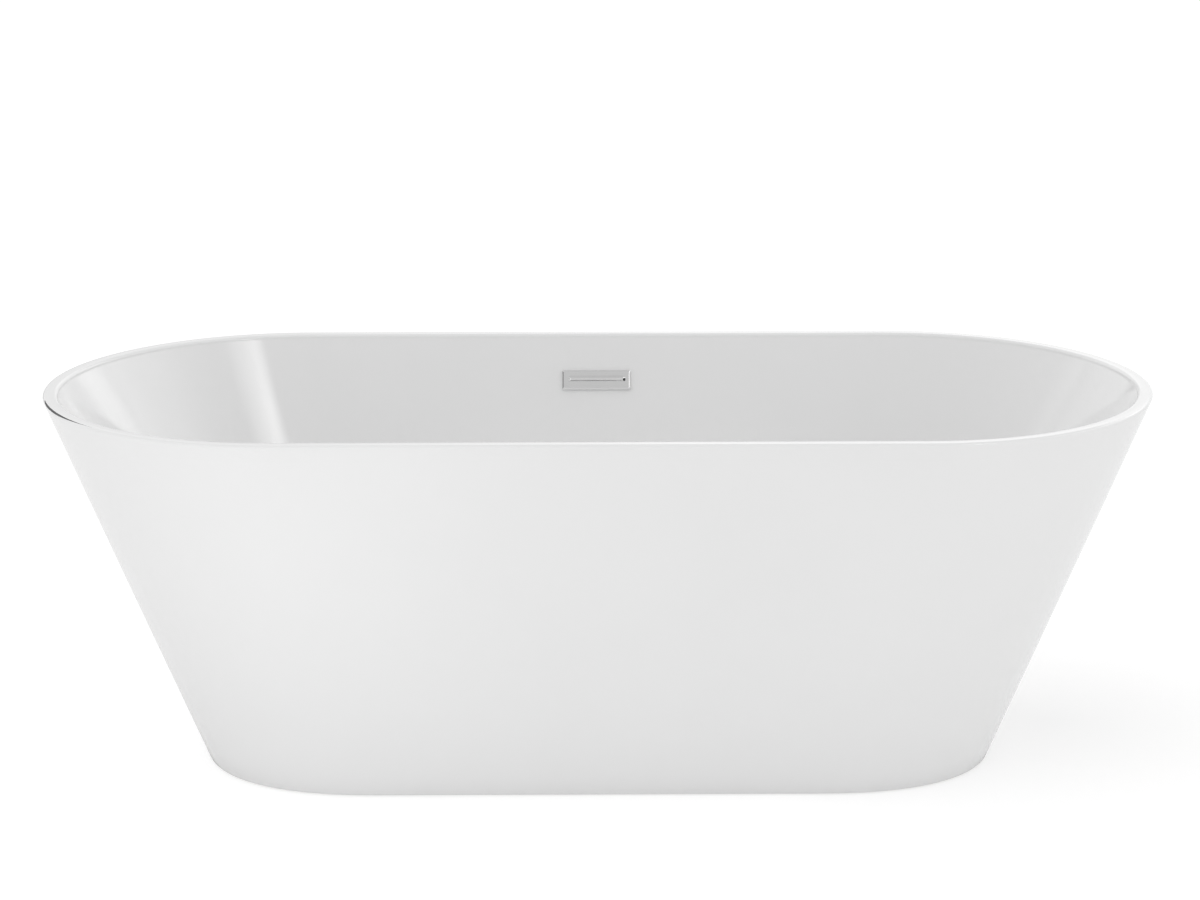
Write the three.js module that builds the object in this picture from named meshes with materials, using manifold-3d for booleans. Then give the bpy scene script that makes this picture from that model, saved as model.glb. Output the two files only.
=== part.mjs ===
// Freestanding double-ended bathtub with a centre waste, a slot overflow and a levelling frame.
// Millimetres, +Z up, +X along the tub, +Y towards its overflow side.
// The origin is on the floor, under the middle of the tub.

import * as THREE from "three";
import { mergeVertices } from "three/addons/utils/BufferGeometryUtils.js";
import Module from "manifold-3d";

const wasm = await Module();
wasm.setup();

// ---------------------------------------------------------------- driving dimensions

const GAP = 0.3; // between pieces that touch

// The outer shell leans out in straight lines from its foot to its rim.
const HEIGHT = 580;
const RIM = { x: 850, y: 400, straight: 474, power: 2 }; // where the rim's outer round begins
const FOOTPRINT = { x: 612, y: 255, straight: 331, power: 2.3 };
const SKIRT_BOTTOM = 4; // shadow gap above the floor
const SKIRT_WALL = 5;
const SKIRT_RETURN = { width: 20, thickness: 5 };
const LIP = { bottom: 556, wall: 5.5 }; // the rim's lip, which hangs over the skirt
const TONGUE = { wall: 4, top: 572, root: 545 };

// The rim, as insets from the outer shell.
const RIM_WIDTH = 22.5;
const RIM_INNER_RADIUS = 6;
const RIM_OUTER_RADIUS = 4;
const RIM_THICKNESS = 6.5;

// The well.
const WELL_WALL = 6.4; // measured level, across a leaning wall
const WELL_CORNER = { x: 560, y: 205, straight: 350, power: 2.4 }; // where wall and floor would meet
const FLOOR_EDGE = 151; // height of the floor at its edge
const FLOOR_DRAIN = 143; // and at the waste, so the floor drains
const FLOOR_UNDERSIDE = 134.6;
const FILLET_UP = 95; // the round between floor and wall, up the wall
const FILLET_IN = 70; // and in over the floor
const END_SEGMENTS = 24;
const SIDE_SEGMENTS = 4;

// The waste, at the middle of the floor.
const DRAIN_HOLE = 26;
const DRAIN_RECESS = { radius: 36, floor: 139.5 };
const THREAD = 24.7; // radius of the flange's threaded tail
const LATHE_SEGMENTS = 24;

// The frame under the well.
const TUBE = { side: 25, wall: 1.5 };
const FRAME_TOP = 119;
const FRAME_BOTTOM = FRAME_TOP - TUBE.side;
const RAIL_Y = 140;
const RAIL_LENGTH = 1040;
const CROSSBAR_X = [-380, -160, 160, 380];
const BOARD = { length: 1020, width: 350, thickness: 15, hole: 48 };
const BOARD_SCREW = { y: 70, radius: 2.5, clearance: 2.9, head: 5, into: 12 };
const BRACKET_X = 300;
const BRACKET = { width: 25, thickness: 3, inner: 128, tab: 40 };
const BRACKET_SCREW = { radius: 3, clearance: 3.3, across: 10, head: 4, length: 12 };

// The levelling feet.
const FOOT_X = 430;
const STUD = { radius: 5, clearance: 5.4, top: 105 };
const PAD = { radius: 25, height: 14, socket: 5 };
const HEX = { bottom: 15, top: 22, across: 17 };
const BOSS_BOTTOM = 80;
const JAM_NUT = { across: 17, height: 8 };

// The overflow, on the leaning wall of the +Y side. Its height is that of its middle.
const OVERFLOW_HEIGHT = 507.5;
const COVER = { width: 113, height: 33, depth: 5.2, skin: 2.4, edge: 2.5 };
const HOOD = { length: 94, height: 8.4, proud: 4.2, skin: 1.6 }; // over the slot, which opens below it
const SLOT = { length: 86, top: 1.4 };
const WALL_OPENING = { width: 82, height: 16 };
const OVERFLOW_SCREW = { x: 47, radius: 2, clearance: 2.4, head: 3.6 };
const HOSE = { inner: 8.8, outer: 11.2, steps: 24 };
const SPIGOT = { inner: 6.4, outer: 8 };
const SPIGOT_END = 420;
const HOSE_TOP = 445;
const INLET_HEIGHT = 76;

// ---------------------------------------------------------------- materials

const finish = (color, roughness, metalness) => ({ color, roughness, metalness });
const ACRYLIC = finish(0xf4f4f2, 0.12, 0);
const CHROME = finish(0xd4d6d8, 0.08, 1);
const STEEL = finish(0xa9acb0, 0.4, 1);
const WOOD = finish(0xb58a5a, 0.8, 0);
const RUBBER = finish(0x222222, 0.85, 0);
const BLACK_PLASTIC = finish(0x2b2c2e, 0.45, 0);
const WHITE_PLASTIC = finish(0xe2e2de, 0.4, 0);
const GREY_HOSE = finish(0x9b9d9e, 0.55, 0);
const STAINLESS = finish(0xc8c9cb, 0.3, 1);

// ---------------------------------------------------------------- geometry helpers

function solid(geometry) {
  const plain = geometry.clone();
  plain.deleteAttribute("normal");
  plain.deleteAttribute("uv");
  const merged = mergeVertices(plain, 1e-3);
  return new wasm.Manifold(
    new wasm.Mesh({
      numProp: 3,
      vertProperties: new Float32Array(merged.attributes.position.array),
      triVerts: new Uint32Array(merged.index.array),
    }),
  );
}

function geometryOf(manifold) {
  const mesh = manifold.getMesh();
  const geometry = new THREE.BufferGeometry();
  geometry.setAttribute("position", new THREE.BufferAttribute(mesh.vertProperties, 3));
  geometry.setIndex(new THREE.BufferAttribute(mesh.triVerts, 1));
  return geometry;
}

function cut(geometry, ...tools) {
  return geometryOf(tools.reduce((body, tool) => body.subtract(solid(tool)), solid(geometry)));
}

function join(...geometries) {
  return geometryOf(geometries.map(solid).reduce((body, other) => body.add(other)));
}

// A box given by its lowest and highest corners.
function box(low, high) {
  const size = high.map((value, axis) => value - low[axis]);
  const middle = high.map((value, axis) => (value + low[axis]) / 2);
  return new THREE.BoxGeometry(...size).translate(...middle);
}

// A body turned about +Z from its profile of [radius, height] points.
function turned(profile, segments = LATHE_SEGMENTS) {
  const points = profile.map(([radius, height]) => new THREE.Vector2(radius, height));
  const [first] = points;
  if (first.x > 0) points.push(first.clone());
  return new THREE.LatheGeometry(points, segments).rotateX(Math.PI / 2);
}

function rod(radius, bottom, top, segments = LATHE_SEGMENTS) {
  return turned([[0, bottom], [radius, bottom], [radius, top], [0, top]], segments);
}

function ring(inner, outer, bottom, top, segments = LATHE_SEGMENTS) {
  return turned([[inner, bottom], [outer, bottom], [outer, top], [inner, top]], segments);
}

// A six-sided nut, given across its flats, with a round bore.
function hexNut(across, bore, bottom, top, curveSegments = 6) {
  const radius = across / Math.sqrt(3);
  const corners = [0, 1, 2, 3, 4, 5].map((corner) => {
    const angle = (corner * Math.PI) / 3;
    return new THREE.Vector2(radius * Math.cos(angle), radius * Math.sin(angle));
  });
  const shape = new THREE.Shape(corners);
  if (bore > 0) shape.holes.push(new THREE.Path().absarc(0, 0, bore, 0, 2 * Math.PI, true));
  const options = { depth: top - bottom, bevelEnabled: false, curveSegments };
  return new THREE.ExtrudeGeometry(shape, options).translate(0, 0, bottom);
}

// A flat body from an outline of [a, b] points, as deep as asked along its own +Z.
function prism(outlinePoints, depth) {
  const shape = new THREE.Shape(outlinePoints.map(([a, b]) => new THREE.Vector2(a, b)));
  return new THREE.ExtrudeGeometry(shape, { depth, bevelEnabled: false });
}

// A rectangle with round corners, extruded along +Z between two heights.
function roundedSlab(width, height, radius, bottom, top, curveSegments = 3) {
  const x = width / 2 - radius;
  const y = height / 2 - radius;
  const shape = new THREE.Shape();
  shape.absarc(x, y, radius, 0, Math.PI / 2);
  shape.absarc(-x, y, radius, Math.PI / 2, Math.PI);
  shape.absarc(-x, -y, radius, Math.PI, 1.5 * Math.PI);
  shape.absarc(x, -y, radius, 1.5 * Math.PI, 2 * Math.PI);
  const options = { depth: top - bottom, bevelEnabled: false, curveSegments };
  return new THREE.ExtrudeGeometry(shape, options).translate(0, 0, bottom);
}

// ---------------------------------------------------------------- outlines of the tub

const mix = (a, b, share) => a + (b - a) * share;
const mixOutline = (a, b, share) => ({
  x: mix(a.x, b.x, share),
  y: mix(a.y, b.y, share),
  straight: mix(a.straight, b.straight, share),
  power: mix(a.power, b.power, share),
});
const grown = (outline, by) => ({ ...outline, x: outline.x + by, y: outline.y + by });

// A closed ring of points: two straight sides joined by superelliptical ends.
function ringOf(outline, z) {
  const points = [];
  const reach = outline.x - outline.straight;
  const exponent = 2 / outline.power;
  for (const side of [1, -1]) {
    for (let i = 0; i < END_SEGMENTS; i++) {
      const angle = Math.PI * (i / END_SEGMENTS - 0.5);
      const x = outline.straight + reach * Math.cos(angle) ** exponent;
      const y = outline.y * Math.sign(angle) * Math.abs(Math.sin(angle)) ** exponent;
      points.push(new THREE.Vector3(side * x, side * y, z));
    }
    for (let i = 0; i < SIDE_SEGMENTS; i++) {
      const x = mix(outline.straight, -outline.straight, i / SIDE_SEGMENTS);
      points.push(new THREE.Vector3(side * x, side * outline.y, z));
    }
  }
  return points;
}

// A circle with as many points as an outline's ring.
function circleOf(radius, z) {
  const count = 2 * (END_SEGMENTS + SIDE_SEGMENTS);
  return Array.from({ length: count }, (_, i) => {
    const angle = (2 * Math.PI * (i - END_SEGMENTS / 2)) / count;
    return new THREE.Vector3(radius * Math.cos(angle), radius * Math.sin(angle), z);
  });
}

const mixRings = (a, b, share) => a.map((point, i) => point.clone().lerp(b[i], share));

// The outer shell's outline at a height up to the rim's round, moved in by an inset.
const ROUND_START = HEIGHT - RIM_OUTER_RADIUS;
function shellRing(z, inset) {
  return ringOf(grown(mixOutline(FOOTPRINT, RIM, z / ROUND_START), -inset), z);
}

// The outline of the well's inner wall at a height.
const WALL_TOP = HEIGHT - RIM_INNER_RADIUS;
function wellOutline(z) {
  const share = (z - FLOOR_EDGE) / (WALL_TOP - FLOOR_EDGE);
  return mixOutline(WELL_CORNER, grown(RIM, -RIM_WIDTH), share);
}

// The closed body between rings, each joined to the next and the last to the first. Seen in section,
// the rings go round the body clockwise.
function lofted(rings) {
  const count = rings[0].length;
  const positions = rings.flat().flatMap((point) => point.toArray());
  const index = [];
  for (let i = 0; i < rings.length; i++) {
    const next = (i + 1) % rings.length;
    for (let j = 0; j < count; j++) {
      const k = (j + 1) % count;
      const [a, b, c, d] = [i * count + j, i * count + k, next * count + k, next * count + j];
      index.push(a, c, b, a, d, c);
    }
  }
  const geometry = new THREE.BufferGeometry();
  geometry.setAttribute("position", new THREE.Float32BufferAttribute(positions, 3));
  geometry.setIndex(index);
  return geometry;
}

// ---------------------------------------------------------------- well and skirt

// The well's inner face from its floor's edge round to the start of its straight wall, or the face
// that is a wall's thickness outside it.
function wellRings(floorZ, thickness) {
  const wall = (z) => ringOf(grown(wellOutline(z), thickness), z);
  const start = ringOf(grown(wellOutline(floorZ), thickness - FILLET_IN), floorZ);
  const bend = wall(floorZ);
  const end = wall(floorZ + FILLET_UP);
  return [0, 0.25, 0.5, 0.75, 1].map((share) =>
    mixRings(mixRings(start, bend, share), mixRings(bend, end, share), share),
  );
}

function basinGeometry() {
  const underRim = HEIGHT - RIM_THICKNESS;
  const inside = wellRings(FLOOR_EDGE, 0);
  const outside = wellRings(FLOOR_UNDERSIDE, WELL_WALL);
  const recessRim = circleOf(DRAIN_RECESS.radius, FLOOR_DRAIN);
  const rimRound = (angle) => {
    const z = HEIGHT - RIM_INNER_RADIUS * (1 - Math.sin(angle));
    return ringOf(grown(RIM, RIM_INNER_RADIUS * (1 - Math.cos(angle)) - RIM_WIDTH), z);
  };
  const lipRound = (angle) => {
    const z = HEIGHT - RIM_OUTER_RADIUS * (1 - Math.sin(angle));
    return ringOf(grown(RIM, -RIM_OUTER_RADIUS * (1 - Math.cos(angle))), z);
  };
  const rings = [
    circleOf(DRAIN_HOLE, FLOOR_UNDERSIDE),
    circleOf(DRAIN_HOLE, DRAIN_RECESS.floor),
    circleOf(DRAIN_RECESS.radius, DRAIN_RECESS.floor),
    recessRim,
    mixRings(recessRim, inside[0], 0.5),
    ...inside,
    ...[0, 0.25, 0.5].map((turn) => rimRound(turn * Math.PI)),
    ...[0.5, 0.25, 0].map((turn) => lipRound(turn * Math.PI)),
    shellRing(LIP.bottom, 0),
    shellRing(LIP.bottom, LIP.wall),
    shellRing(underRim, LIP.wall),
    ringOf(grown(wellOutline(underRim), WELL_WALL), underRim),
    ...outside.reverse(),
  ];
  const opening = inWallFrame(roundedSlab(WALL_OPENING.width, WALL_OPENING.height, 4, -20, 20));
  const screwHoles = [-1, 1].map((side) =>
    inWallFrame(rod(OVERFLOW_SCREW.clearance, -20, 20, 8).translate(side * OVERFLOW_SCREW.x, 0, 0)),
  );
  return cut(lofted(rings), opening, ...screwHoles);
}

function skirtGeometry() {
  const top = LIP.bottom - GAP;
  const tongueFace = LIP.wall + GAP;
  const returnTop = SKIRT_BOTTOM + SKIRT_RETURN.thickness;
  return lofted([
    shellRing(SKIRT_BOTTOM, SKIRT_RETURN.width),
    shellRing(returnTop, SKIRT_RETURN.width),
    shellRing(returnTop, SKIRT_WALL),
    shellRing(TONGUE.root - SKIRT_WALL, SKIRT_WALL),
    shellRing(TONGUE.root, tongueFace + TONGUE.wall),
    shellRing(TONGUE.top, tongueFace + TONGUE.wall),
    shellRing(TONGUE.top, tongueFace),
    shellRing(top, tongueFace),
    shellRing(top, 0),
    shellRing(SKIRT_BOTTOM, 0),
  ]);
}

// ---------------------------------------------------------------- overflow

// The wall's own frame at the overflow: its +X is the tub's, its +Y runs up the wall, and its +Z
// points out of the wall into the well. Its origin is on the wall's inner face.
const wallY = (z) => wellOutline(z).y;
const wallLean = Math.atan(wallY(1) - wallY(0));
const skirtInnerY = (z) => mix(FOOTPRINT.y, RIM.y, z / ROUND_START) - SKIRT_WALL;
const wallDepth = WELL_WALL * Math.cos(wallLean); // through the wall, square to it

function inWallFrame(geometry) {
  return geometry
    .rotateX(Math.PI / 2 - wallLean)
    .translate(0, wallY(OVERFLOW_HEIGHT), OVERFLOW_HEIGHT);
}

// The middle of the space between the well and the skirt, down which the overflow hose runs.
function behindWall(z) {
  return new THREE.Vector3(0, (wallY(z) + WELL_WALL + skirtInnerY(z)) / 2, z);
}

function tubeAlong(points, outer, inner, steps) {
  const shape = new THREE.Shape().absarc(0, 0, outer, 0, 2 * Math.PI);
  shape.holes.push(new THREE.Path().absarc(0, 0, inner, 0, 2 * Math.PI, true));
  const extrudePath = new THREE.CatmullRomCurve3(points);
  const options = { steps, extrudePath, curveSegments: 4, bevelEnabled: false };
  return new THREE.ExtrudeGeometry(shape, options);
}

function rodBetween(start, end, radius, segments = 12) {
  const along = end.clone().sub(start);
  const turn = new THREE.Quaternion().setFromUnitVectors(
    new THREE.Vector3(0, 0, 1),
    along.clone().normalize(),
  );
  return rod(radius, 0, along.length(), segments)
    .applyQuaternion(turn)
    .translate(...start.toArray());
}

function clampAt(start, end) {
  const before = start.clone().lerp(end, -0.5);
  const after = start.clone().lerp(end, 1.5);
  return cut(rodBetween(start, end, HOSE.outer + 2.4), rodBetween(before, after, HOSE.outer + 2 * GAP));
}

// A shallow plate with a long rounded hood, whose slot opens downwards between hood and plate.
function overflowCoverGeometry() {
  const front = COVER.depth + GAP;
  const body = roundedSlab(COVER.width, COVER.height, 1.5, GAP, front);
  const hoodTop = front + HOOD.proud;
  const hood = roundedSlab(HOOD.length, HOOD.height, HOOD.height / 2, front - 1, hoodTop, 4);
  const slotFront = hoodTop - HOOD.skin;
  const halfSlot = SLOT.length / 2;
  const slot = box([-halfSlot, -HOOD.height, 0], [halfSlot, SLOT.top, slotFront]);
  const below = box([-halfSlot, -COVER.height, -1], [halfSlot, -HOOD.height / 2 + 0.8, front]);
  const pocketWidth = COVER.width - 2 * COVER.edge;
  const pocketHeight = COVER.height - 2 * COVER.edge;
  const pocket = roundedSlab(pocketWidth, pocketHeight, 1, -1, front - COVER.skin);
  const opening = geometryOf(solid(slot).subtract(solid(below)));
  return inWallFrame(cut(join(body, hood), opening, pocket));
}

function overflowFrameGeometry() {
  const plate = roundedSlab(105, 25, 2, GAP, GAP + 1.8);
  const opening = roundedSlab(WALL_OPENING.width, WALL_OPENING.height, 4, -1, 5);
  const holes = [-1, 1].map((side) =>
    rod(OVERFLOW_SCREW.clearance, -1, 5, 8).translate(side * OVERFLOW_SCREW.x, 0, 0),
  );
  return inWallFrame(cut(plate, opening, ...holes));
}

const gasketFace = -wallDepth - GAP;
const bodyFace = gasketFace - 2 - GAP;
const bodyBack = bodyFace - 11;

function overflowGasketGeometry() {
  const sheet = roundedSlab(106, 28, 3, gasketFace - 2, gasketFace);
  const opening = roundedSlab(WALL_OPENING.width, WALL_OPENING.height, 4, -20, 0);
  const holes = [-1, 1].map((side) =>
    rod(OVERFLOW_SCREW.clearance, -20, 0, 8).translate(side * OVERFLOW_SCREW.x, 0, 0),
  );
  return inWallFrame(cut(sheet, opening, ...holes));
}

function overflowBodyGeometry() {
  const flange = inWallFrame(roundedSlab(106, 28, 3, bodyFace - 2, bodyFace));
  const chest = inWallFrame(roundedSlab(88, 22, 5, bodyBack, bodyFace - 1));
  const hollow = inWallFrame(roundedSlab(84, 18, 4, bodyBack + 1.8, bodyFace + 1));
  const spigotTop = behindWall(OVERFLOW_HEIGHT - 6);
  const spigot = rodBetween(spigotTop, behindWall(SPIGOT_END), SPIGOT.outer);
  const bore = rodBetween(
    behindWall(OVERFLOW_HEIGHT - 9),
    behindWall(SPIGOT_END - 5),
    SPIGOT.inner,
  );
  const holes = [-1, 1].map((side) =>
    inWallFrame(
      rod(OVERFLOW_SCREW.radius + GAP, bodyFace - 5, 0, 8).translate(side * OVERFLOW_SCREW.x, 0, 0),
    ),
  );
  return cut(join(flange, chest, spigot), hollow, bore, ...holes);
}

function overflowScrewGeometry(side) {
  const headBottom = GAP + 1.8 + GAP;
  const { radius, head } = OVERFLOW_SCREW;
  const profile = [
    [0, bodyFace - 1.8],
    [radius, bodyFace - 1.8],
    [radius, headBottom],
    [head, headBottom],
    [head * 0.8, headBottom + 0.6],
    [0, headBottom + 0.6],
  ];
  return inWallFrame(turned(profile, 10).translate(side * OVERFLOW_SCREW.x, 0, 0));
}

function hosePoints() {
  return [
    behindWall(HOSE_TOP),
    behindWall(380),
    behindWall(300),
    behindWall(220),
    new THREE.Vector3(0, 247, 160),
    new THREE.Vector3(0, 222, 112),
    new THREE.Vector3(0, 176, 82),
    new THREE.Vector3(0, 125, INLET_HEIGHT),
    new THREE.Vector3(0, 85, INLET_HEIGHT),
    new THREE.Vector3(0, 44, INLET_HEIGHT),
  ];
}

// ---------------------------------------------------------------- waste

function drainFlangeGeometry() {
  const top = FLOOR_DRAIN;
  const seat = DRAIN_RECESS.floor + 2 * GAP + 1.2;
  return turned([
    [21.5, 104],
    [THREAD, 104],
    [THREAD, seat],
    [35, seat],
    [35, top - 0.5],
    [34, top],
    [25.5, top],
    [23, top - 1.2],
    [22, top - 4],
    [21.5, top - 8],
  ]);
}

function wasteTeeGeometry() {
  const body = turned([
    [THREAD + GAP, 121.7],
    [THREAD + GAP, 103],
    [19.3, 98],
    [19.3, 40],
    [22.5, 40],
    [22.5, 94],
    [30, 99],
    [30, 121.7],
  ]);
  const inlet = (from, to, radius) =>
    rodBetween(new THREE.Vector3(0, from, INLET_HEIGHT), new THREE.Vector3(0, to, INLET_HEIGHT), radius);
  const passage = rod(19.3, 41, 97);
  return cut(join(body, inlet(20.5, 66, SPIGOT.outer)), inlet(10, 70, SPIGOT.inner), passage);
}

function slipNutGeometry() {
  return turned([
    [19.3, 28],
    [27, 28],
    [28, 30],
    [28, 42],
    [27, 44],
    [22.8, 44],
    [22.8, 33.7],
    [19.3, 33.7],
  ]);
}

function cartridgeGeometry() {
  const rim = ring(19.4, 21.2, 110, 124);
  const hub = rod(8, 108, 126, 16);
  const spokes = [0, 1, 2].map((turn) =>
    box([6, -1.5, 112], [20, 1.5, 122]).rotateZ((turn * 2 * Math.PI) / 3),
  );
  return cut(join(rim, hub, ...spokes), rod(4.4, 100, 130, 16));
}

// How far the stopper stands up when it is open, above the height at which it seals.
const STOPPER_TRAVEL = 9;
const SEAL_BOTTOM = FLOOR_DRAIN + GAP + STOPPER_TRAVEL;
const SEAL_TOP = SEAL_BOTTOM + 2.5;
const CAP_BOTTOM = SEAL_TOP + GAP;

function stopperCapGeometry() {
  return turned([
    [0, CAP_BOTTOM],
    [31.5, CAP_BOTTOM],
    [33, CAP_BOTTOM + 1],
    [33, CAP_BOTTOM + 2],
    [31, CAP_BOTTOM + 3.2],
    [16, CAP_BOTTOM + 4.2],
    [0, CAP_BOTTOM + 4.5],
  ], 24);
}

function stopperStemGeometry() {
  return turned([
    [0, 101],
    [3.2, 101],
    [4, 102],
    [4, SEAL_BOTTOM - 2.3],
    [9, SEAL_BOTTOM - 2.3],
    [9, SEAL_TOP],
    [0, SEAL_TOP],
  ], 16);
}

function stopperSpringGeometry() {
  const turns = 5;
  const [bottom, top] = [127.2, SEAL_BOTTOM - 3.4];
  const points = Array.from({ length: turns * 12 + 1 }, (_, i) => {
    const angle = (i * 2 * Math.PI) / 12;
    const z = mix(bottom, top, i / (turns * 12));
    return new THREE.Vector3(6.3 * Math.cos(angle), 6.3 * Math.sin(angle), z);
  });
  const section = new THREE.Shape().absarc(0, 0, 0.8, 0, 2 * Math.PI);
  const extrudePath = new THREE.CatmullRomCurve3(points);
  return new THREE.ExtrudeGeometry(section, {
    steps: turns * 9,
    extrudePath,
    curveSegments: 3,
    bevelEnabled: false,
  });
}

// ---------------------------------------------------------------- frame and feet

// A square tube along X between two ends, standing on FRAME_BOTTOM, with both ends open.
function squareTube(length) {
  const half = TUBE.side / 2;
  const inside = half - TUBE.wall;
  const body = box([-length / 2, -half, FRAME_BOTTOM], [length / 2, half, FRAME_TOP]);
  const bore = box(
    [-length, -inside, FRAME_BOTTOM + TUBE.wall],
    [length, inside, FRAME_TOP - TUBE.wall],
  );
  return cut(body, bore);
}

function railGeometry() {
  const holes = [-1, 1].flatMap((side) => [
    rod(STUD.clearance, FRAME_BOTTOM - 1, FRAME_BOTTOM + 5, 12).translate(side * FOOT_X, 0, 0),
    rod(BRACKET_SCREW.clearance, FRAME_BOTTOM - 1, FRAME_BOTTOM + 5, 8).translate(
      side * BRACKET_X,
      0,
      0,
    ),
  ]);
  return cut(squareTube(RAIL_LENGTH), ...holes);
}

function crossbarGeometry(x) {
  const length = 2 * RAIL_Y - TUBE.side - 2 * GAP;
  const bar = squareTube(length).rotateZ(Math.PI / 2);
  if (Math.abs(x) < FOOT_X / 2) return bar;
  const holes = [-1, 1].map((side) =>
    rod(BOARD_SCREW.clearance, FRAME_BOTTOM - 1, FRAME_TOP + 1, 8).translate(
      0,
      side * BOARD_SCREW.y,
      0,
    ),
  );
  return cut(bar, ...holes);
}

function boardGeometry() {
  const bottom = FRAME_TOP + GAP;
  const top = bottom + BOARD.thickness;
  const sheet = roundedSlab(BOARD.length, BOARD.width, 40, bottom, top, 6);
  const drain = rod(BOARD.hole, bottom - 1, top + 1);
  const holes = [];
  for (const x of [CROSSBAR_X[0], CROSSBAR_X[3]]) {
    for (const side of [-1, 1]) {
      const hole = rod(BOARD_SCREW.clearance, bottom - 1, bottom + BOARD_SCREW.into + GAP, 8);
      holes.push(hole.translate(x, side * BOARD_SCREW.y, 0));
    }
  }
  return cut(sheet, drain, ...holes);
}

function boardScrewGeometry() {
  const seat = FRAME_BOTTOM - GAP;
  const { radius, head, into } = BOARD_SCREW;
  const tip = FRAME_TOP + GAP + into;
  return turned([
    [0, seat - 3],
    [head * 0.7, seat - 3],
    [head, seat - 1.6],
    [head, seat],
    [radius, seat],
    [radius, tip - 4],
    [0, tip],
  ], 8);
}

// An angle from under the rail out to the skirt, whose tab leans as the skirt does.
function bracketGeometry() {
  const top = FRAME_BOTTOM - GAP;
  const bottom = top - BRACKET.thickness;
  const face = (z) => skirtInnerY(z) - 2 * GAP;
  const profile = [
    [BRACKET.inner, top],
    [BRACKET.inner, bottom],
    [face(bottom) - BRACKET.thickness, bottom],
    [face(BRACKET.tab) - BRACKET.thickness, BRACKET.tab],
    [face(BRACKET.tab), BRACKET.tab],
    [face(top), top],
  ];
  const body = prism(profile, BRACKET.width)
    .rotateX(Math.PI / 2)
    .rotateZ(Math.PI / 2)
    .translate(-BRACKET.width / 2, 0, 0);
  const hole = rod(BRACKET_SCREW.clearance, bottom - 1, top + 1, 8).translate(0, RAIL_Y, 0);
  return cut(body, hole);
}

function bracketScrewGeometry() {
  const seat = FRAME_BOTTOM - 2 * GAP - BRACKET.thickness;
  const head = hexNut(BRACKET_SCREW.across, 0, seat - BRACKET_SCREW.head, seat);
  return join(head, rod(BRACKET_SCREW.radius, seat - 1, seat + BRACKET_SCREW.length, 8));
}

function padGeometry() {
  const { radius, height, socket } = PAD;
  return turned([
    [0, 0],
    [radius - 1, 0],
    [radius, 1],
    [radius, 5],
    [radius - 3, 8],
    [11, height],
    [STUD.radius + 0.6, height],
    [STUD.radius + 0.6, socket],
    [0, socket],
  ], 16);
}

function studGeometry() {
  const stem = turned([
    [0, PAD.socket + GAP],
    [3.5, PAD.socket + GAP],
    [STUD.radius, PAD.socket + 2],
    [STUD.radius, STUD.top - 1],
    [STUD.radius - 1, STUD.top],
    [0, STUD.top],
  ], 10);
  return join(stem, hexNut(HEX.across, 0, HEX.bottom, HEX.top));
}

const bossGeometry = () => hexNut(19, STUD.clearance, BOSS_BOTTOM, FRAME_BOTTOM - GAP);

function jamNutGeometry() {
  const top = BOSS_BOTTOM - GAP;
  return hexNut(JAM_NUT.across, STUD.clearance, top - JAM_NUT.height, top);
}

// ---------------------------------------------------------------- assembly

const tub = new THREE.Group();

function piece(name, geometry, look, parent = tub) {
  const mesh = new THREE.Mesh(geometry, new THREE.MeshStandardMaterial(look));
  mesh.name = name;
  parent.add(mesh);
  return mesh;
}

piece("basin", basinGeometry(), ACRYLIC);
piece("skirt", skirtGeometry(), ACRYLIC);
piece("base_board", boardGeometry(), WOOD);

const SIDES = [
  { name: "front", sign: -1 },
  { name: "back", sign: 1 },
];
const ENDS = [
  { name: "left", sign: -1 },
  { name: "right", sign: 1 },
];

CROSSBAR_X.forEach((x, i) => {
  piece(`crossbar_${i + 1}`, crossbarGeometry(x), STEEL).position.set(x, 0, 0);
});

for (const side of SIDES) {
  piece(`rail_${side.name}`, railGeometry(), STEEL).position.set(0, side.sign * RAIL_Y, 0);
  for (const end of ENDS) {
    const where = `${side.name}_${end.name}`;

    const bracket = piece(`skirt_bracket_${where}`, bracketGeometry(), STEEL);
    bracket.position.set(end.sign * BRACKET_X, 0, 0);
    bracket.rotation.z = side.sign < 0 ? Math.PI : 0;

    const bracketScrew = piece(`bracket_screw_${where}`, bracketScrewGeometry(), STAINLESS);
    bracketScrew.position.set(end.sign * BRACKET_X, side.sign * RAIL_Y, 0);

    const boardScrew = piece(`board_screw_${where}`, boardScrewGeometry(), STAINLESS);
    boardScrew.position.set(end.sign * CROSSBAR_X[3], side.sign * BOARD_SCREW.y, 0);

    const foot = new THREE.Group();
    foot.position.set(end.sign * FOOT_X, side.sign * RAIL_Y, 0);
    tub.add(foot);
    piece(`foot_pad_${where}`, padGeometry(), RUBBER, foot);
    piece(`foot_stud_${where}`, studGeometry(), STAINLESS, foot);
    piece(`foot_jam_nut_${where}`, jamNutGeometry(), STAINLESS, foot);
    piece(`foot_boss_${where}`, bossGeometry(), STEEL, foot);
  }
}

const gasketBottom = DRAIN_RECESS.floor + GAP;
piece("drain_flange", drainFlangeGeometry(), CHROME);
piece("drain_gasket_upper", ring(25.4, 34.2, gasketBottom, gasketBottom + 1.2, 20), RUBBER);
piece("drain_gasket_lower", ring(THREAD + GAP, 40, 131.3, FLOOR_UNDERSIDE - GAP), RUBBER);
piece("drain_locknut", hexNut(72, THREAD + GAP, 122, 131, 12), BLACK_PLASTIC);
piece("waste_tee", wasteTeeGeometry(), BLACK_PLASTIC);
piece("waste_slip_nut", slipNutGeometry(), BLACK_PLASTIC);
piece("waste_washer", ring(19.3, 22.5, 34, 39.7), RUBBER);
piece("waste_tailpiece", ring(16.2, 19, 14, 60), WHITE_PLASTIC);
piece("stopper_cartridge", cartridgeGeometry(), WHITE_PLASTIC);
piece("stopper_cap", stopperCapGeometry(), CHROME);
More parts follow.
